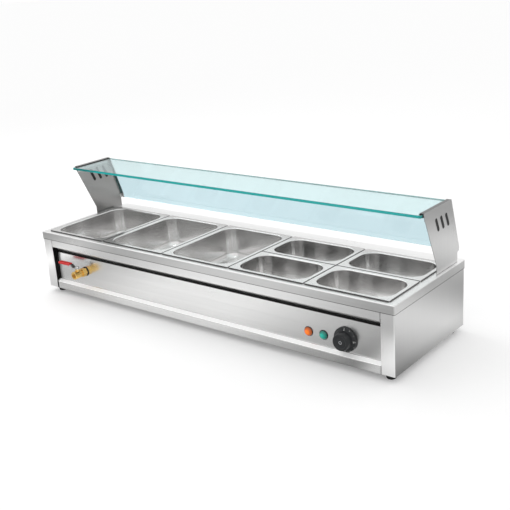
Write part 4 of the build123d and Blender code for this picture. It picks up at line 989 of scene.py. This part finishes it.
# %% the crosses in the rear screws
SCREW_ROWS, SCREW_HEAD = 3, 0.0038
CROSS_HALF_LENGTH, CROSS_HALF_WIDTH = 0.0017, 0.00035
CROSS_SINK, CROSS_RISE = 0.0001, 0.00005
FACING_BACK = Matrix(((-1, 0, 0, 0), (0, 0, 1, 0), (0, 1, 0, 0), (0, 0, 0, 1)))


def cross_outline():
    """Give the outline of a cross: three corners for each of its four arms."""
    arm = [
        (CROSS_HALF_WIDTH, CROSS_HALF_WIDTH),
        (CROSS_HALF_WIDTH, CROSS_HALF_LENGTH),
        (-CROSS_HALF_WIDTH, CROSS_HALF_LENGTH),
    ]
    points = []
    for _ in range(4):
        points += arm
        arm = [(-y, x) for x, y in arm]
    return points


low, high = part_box("rear_panel_screws")
cross = prism("cross", cross_outline(), -CROSS_SINK, CROSS_RISE)
row_step = (high[2] - low[2] - 2 * SCREW_HEAD) / (SCREW_ROWS - 1)
crosses = repeated_mesh(cross, housing_black, SCREW_ROWS, step=(0.0, row_step, 0.0))
cross_places = []
for x in (low[0] + SCREW_HEAD, high[0] - SCREW_HEAD):
    cross_places.append(Matrix.Translation((x, high[1], low[2] + SCREW_HEAD)) @ FACING_BACK)
# Black crosses: painted shade for the cross recesses.
place_piece("screw_cross_shade", [crosses, crosses], cross_places, housing_black, "base")

# %% [markdown]
# The studio comes next: a wide white floor, a white world behind it and one long soft box
# overhead. Bright steel has no colour of its own and shows only what surrounds it, so most
# of the look is made here. The front of the warmer mirrors the floor just in front of it,
# and the side mirrors the floor beside it. The camera sees that floor white. Polished
# metal sees it with painted light and shade: a painted pool of light before the middle, like
# the light on a studio table between black flags. Beside the warmer the floor carries painted
# bands of light and shade, so that the side panel and the guard shade from top to bottom.

# %% the floor
FLOOR_REACH = 30.0
FLOOR_ROUGHNESS = 0.9
FLOOR_WHITE, FLOOR_GLOW = (0.80, 0.80, 0.80), 0.22
# Where the painted pool gives way to the painted bands, and the bands' start, length, depth and tone.
UNDER_FRONT = (-0.24, -0.16)
BAND_START, BAND_LENGTH, BAND_DEPTH, BAND_TONE = 0.18, 0.72, 0.28, 0.66

corners = [(-1, -1), (1, -1), (1, 1), (-1, 1)]
floor_mesh = plain_mesh(
    "floor", [(x * FLOOR_REACH, y * FLOOR_REACH, 0.0) for x, y in corners], [(0, 1, 2, 3)]
)
floor = bpy.data.objects.new("floor", floor_mesh)
scene.collection.objects.link(floor)


def seen_directly(tree):
    """Give 1 for camera rays and for rays that come through glass, else 0."""
    path = add_node(tree, "ShaderNodeLightPath")
    camera_ray, through_glass = path.outputs["Is Camera Ray"], path.outputs["Is Transmission Ray"]
    return math_node(tree, "MAXIMUM", camera_ray, through_glass)


def painted_front_pool(tree, across):
    """Give the painted pool of light on the floor before the warmer, from left to right."""
    left = fade(tree, across, -0.85, -0.30, 0.50, 1.1)
    end_rise = fade(tree, across, -1.12, -1.03, 0.0, 1.0)
    left_end = math_node(tree, "MULTIPLY", end_rise, fade(tree, across, -0.97, -0.88, 0.95, 0.0))
    right = fade(tree, across, -0.05, 0.45, 1.0, 0.50)
    right_dip = fade(tree, across, 0.45, 0.52, 1.0, 0.68)
    right_end = fade(tree, across, 0.53, 0.60, 0.0, 0.55)
    pool = math_node(tree, "MULTIPLY", math_node(tree, "ADD", left, left_end), right)
    return math_node(tree, "ADD", math_node(tree, "MULTIPLY", pool, right_dip), right_end)


def painted_side_bands(tree, depth):
    """Give the painted bands of light and shade on the floor beside the warmer, from front to back."""
    from_band = math_node(tree, "SUBTRACT", depth, BAND_START)
    band = math_node(tree, "COSINE", math_node(tree, "MULTIPLY", from_band, 2 * math.pi / BAND_LENGTH))
    return math_node(tree, "ADD", math_node(tree, "MULTIPLY", band, BAND_DEPTH), BAND_TONE)


floor_paper, tree, shader = new_material("floor_paper")
shader.inputs["Roughness"].default_value = FLOOR_ROUGHNESS
shader.inputs["Specular IOR Level"].default_value = 0.0
at = object_axes(tree)
# Every ray except camera rays and rays through glass sees painted light and shade on the floor.
tones = add_node(tree, "ShaderNodeMix", data_type="FLOAT")
join(tree, fade(tree, at["Y"], *UNDER_FRONT, 0.0, 1.0), tones.inputs["Factor"])
join(tree, painted_front_pool(tree, at["X"]), tones.inputs[2])
join(tree, painted_side_bands(tree, at["Y"]), tones.inputs[3])
direct = seen_directly(tree)
paper = mix_colors(tree, direct, tones.outputs[0], FLOOR_WHITE)
join(tree, paper, shader.inputs["Base Color"])
glow_tone(tree, math_node(tree, "MULTIPLY", direct, FLOOR_GLOW))
floor_mesh.materials.append(floor_paper)
print("floor laid,", 2 * FLOOR_REACH, "m wide")

# %% the world
WORLD_TONES = ((0.0, 0.32), (0.28, 0.72), (0.45, 0.98), (0.75, 1.0))
WHITE = (1.0, 1.0, 1.0)

world = bpy.data.worlds.new("studio")
scene.world = world
world.use_nodes = True
tree = world.node_tree
background = tree.nodes["Background"]
direction = add_node(tree, "ShaderNodeTexCoord")
parts = add_node(tree, "ShaderNodeSeparateXYZ")
join(tree, direction.outputs["Generated"], parts.inputs[0])
ramp = add_node(tree, "ShaderNodeValToRGB")
steps = ramp.color_ramp.elements
for index, (height, grey) in enumerate(WORLD_TONES):
    step = steps[index] if index < len(steps) else steps.new(height)
    step.position = height
    step.color = (grey, grey, grey, 1.0)
join(tree, parts.outputs["Z"], ramp.inputs["Fac"])
shade = mix_colors(tree, seen_directly(tree), ramp.outputs["Color"], WHITE)
join(tree, shade, background.inputs["Color"])
background.inputs["Strength"].default_value = 1.0
print("world set with", len(steps), "tones")

# %% the lamp
LAMP_PLACE, LAMP_TARGET = Vector((-1.5, 0.3, 2.1)), Vector((-0.3, 0.0, 0.1))
LAMP_WIDTH, LAMP_LENGTH, LAMP_POWER = 1.2, 2.8, 14.0

lamp_data = bpy.data.lights.new("overhead", "AREA")
lamp_data.shape = "RECTANGLE"
lamp_data.size = LAMP_WIDTH
lamp_data.size_y = LAMP_LENGTH
lamp_data.energy = LAMP_POWER
lamp = bpy.data.objects.new("overhead", lamp_data)
lamp.location = LAMP_PLACE
lamp.rotation_euler = (LAMP_TARGET - LAMP_PLACE).to_track_quat("-Z", "Y").to_euler()
scene.collection.objects.link(lamp)
scene.view_settings.view_transform = "Standard"
print("lamp:", lamp.name, LAMP_POWER, "W")

# %% finish
bpy.context.view_layer.update()
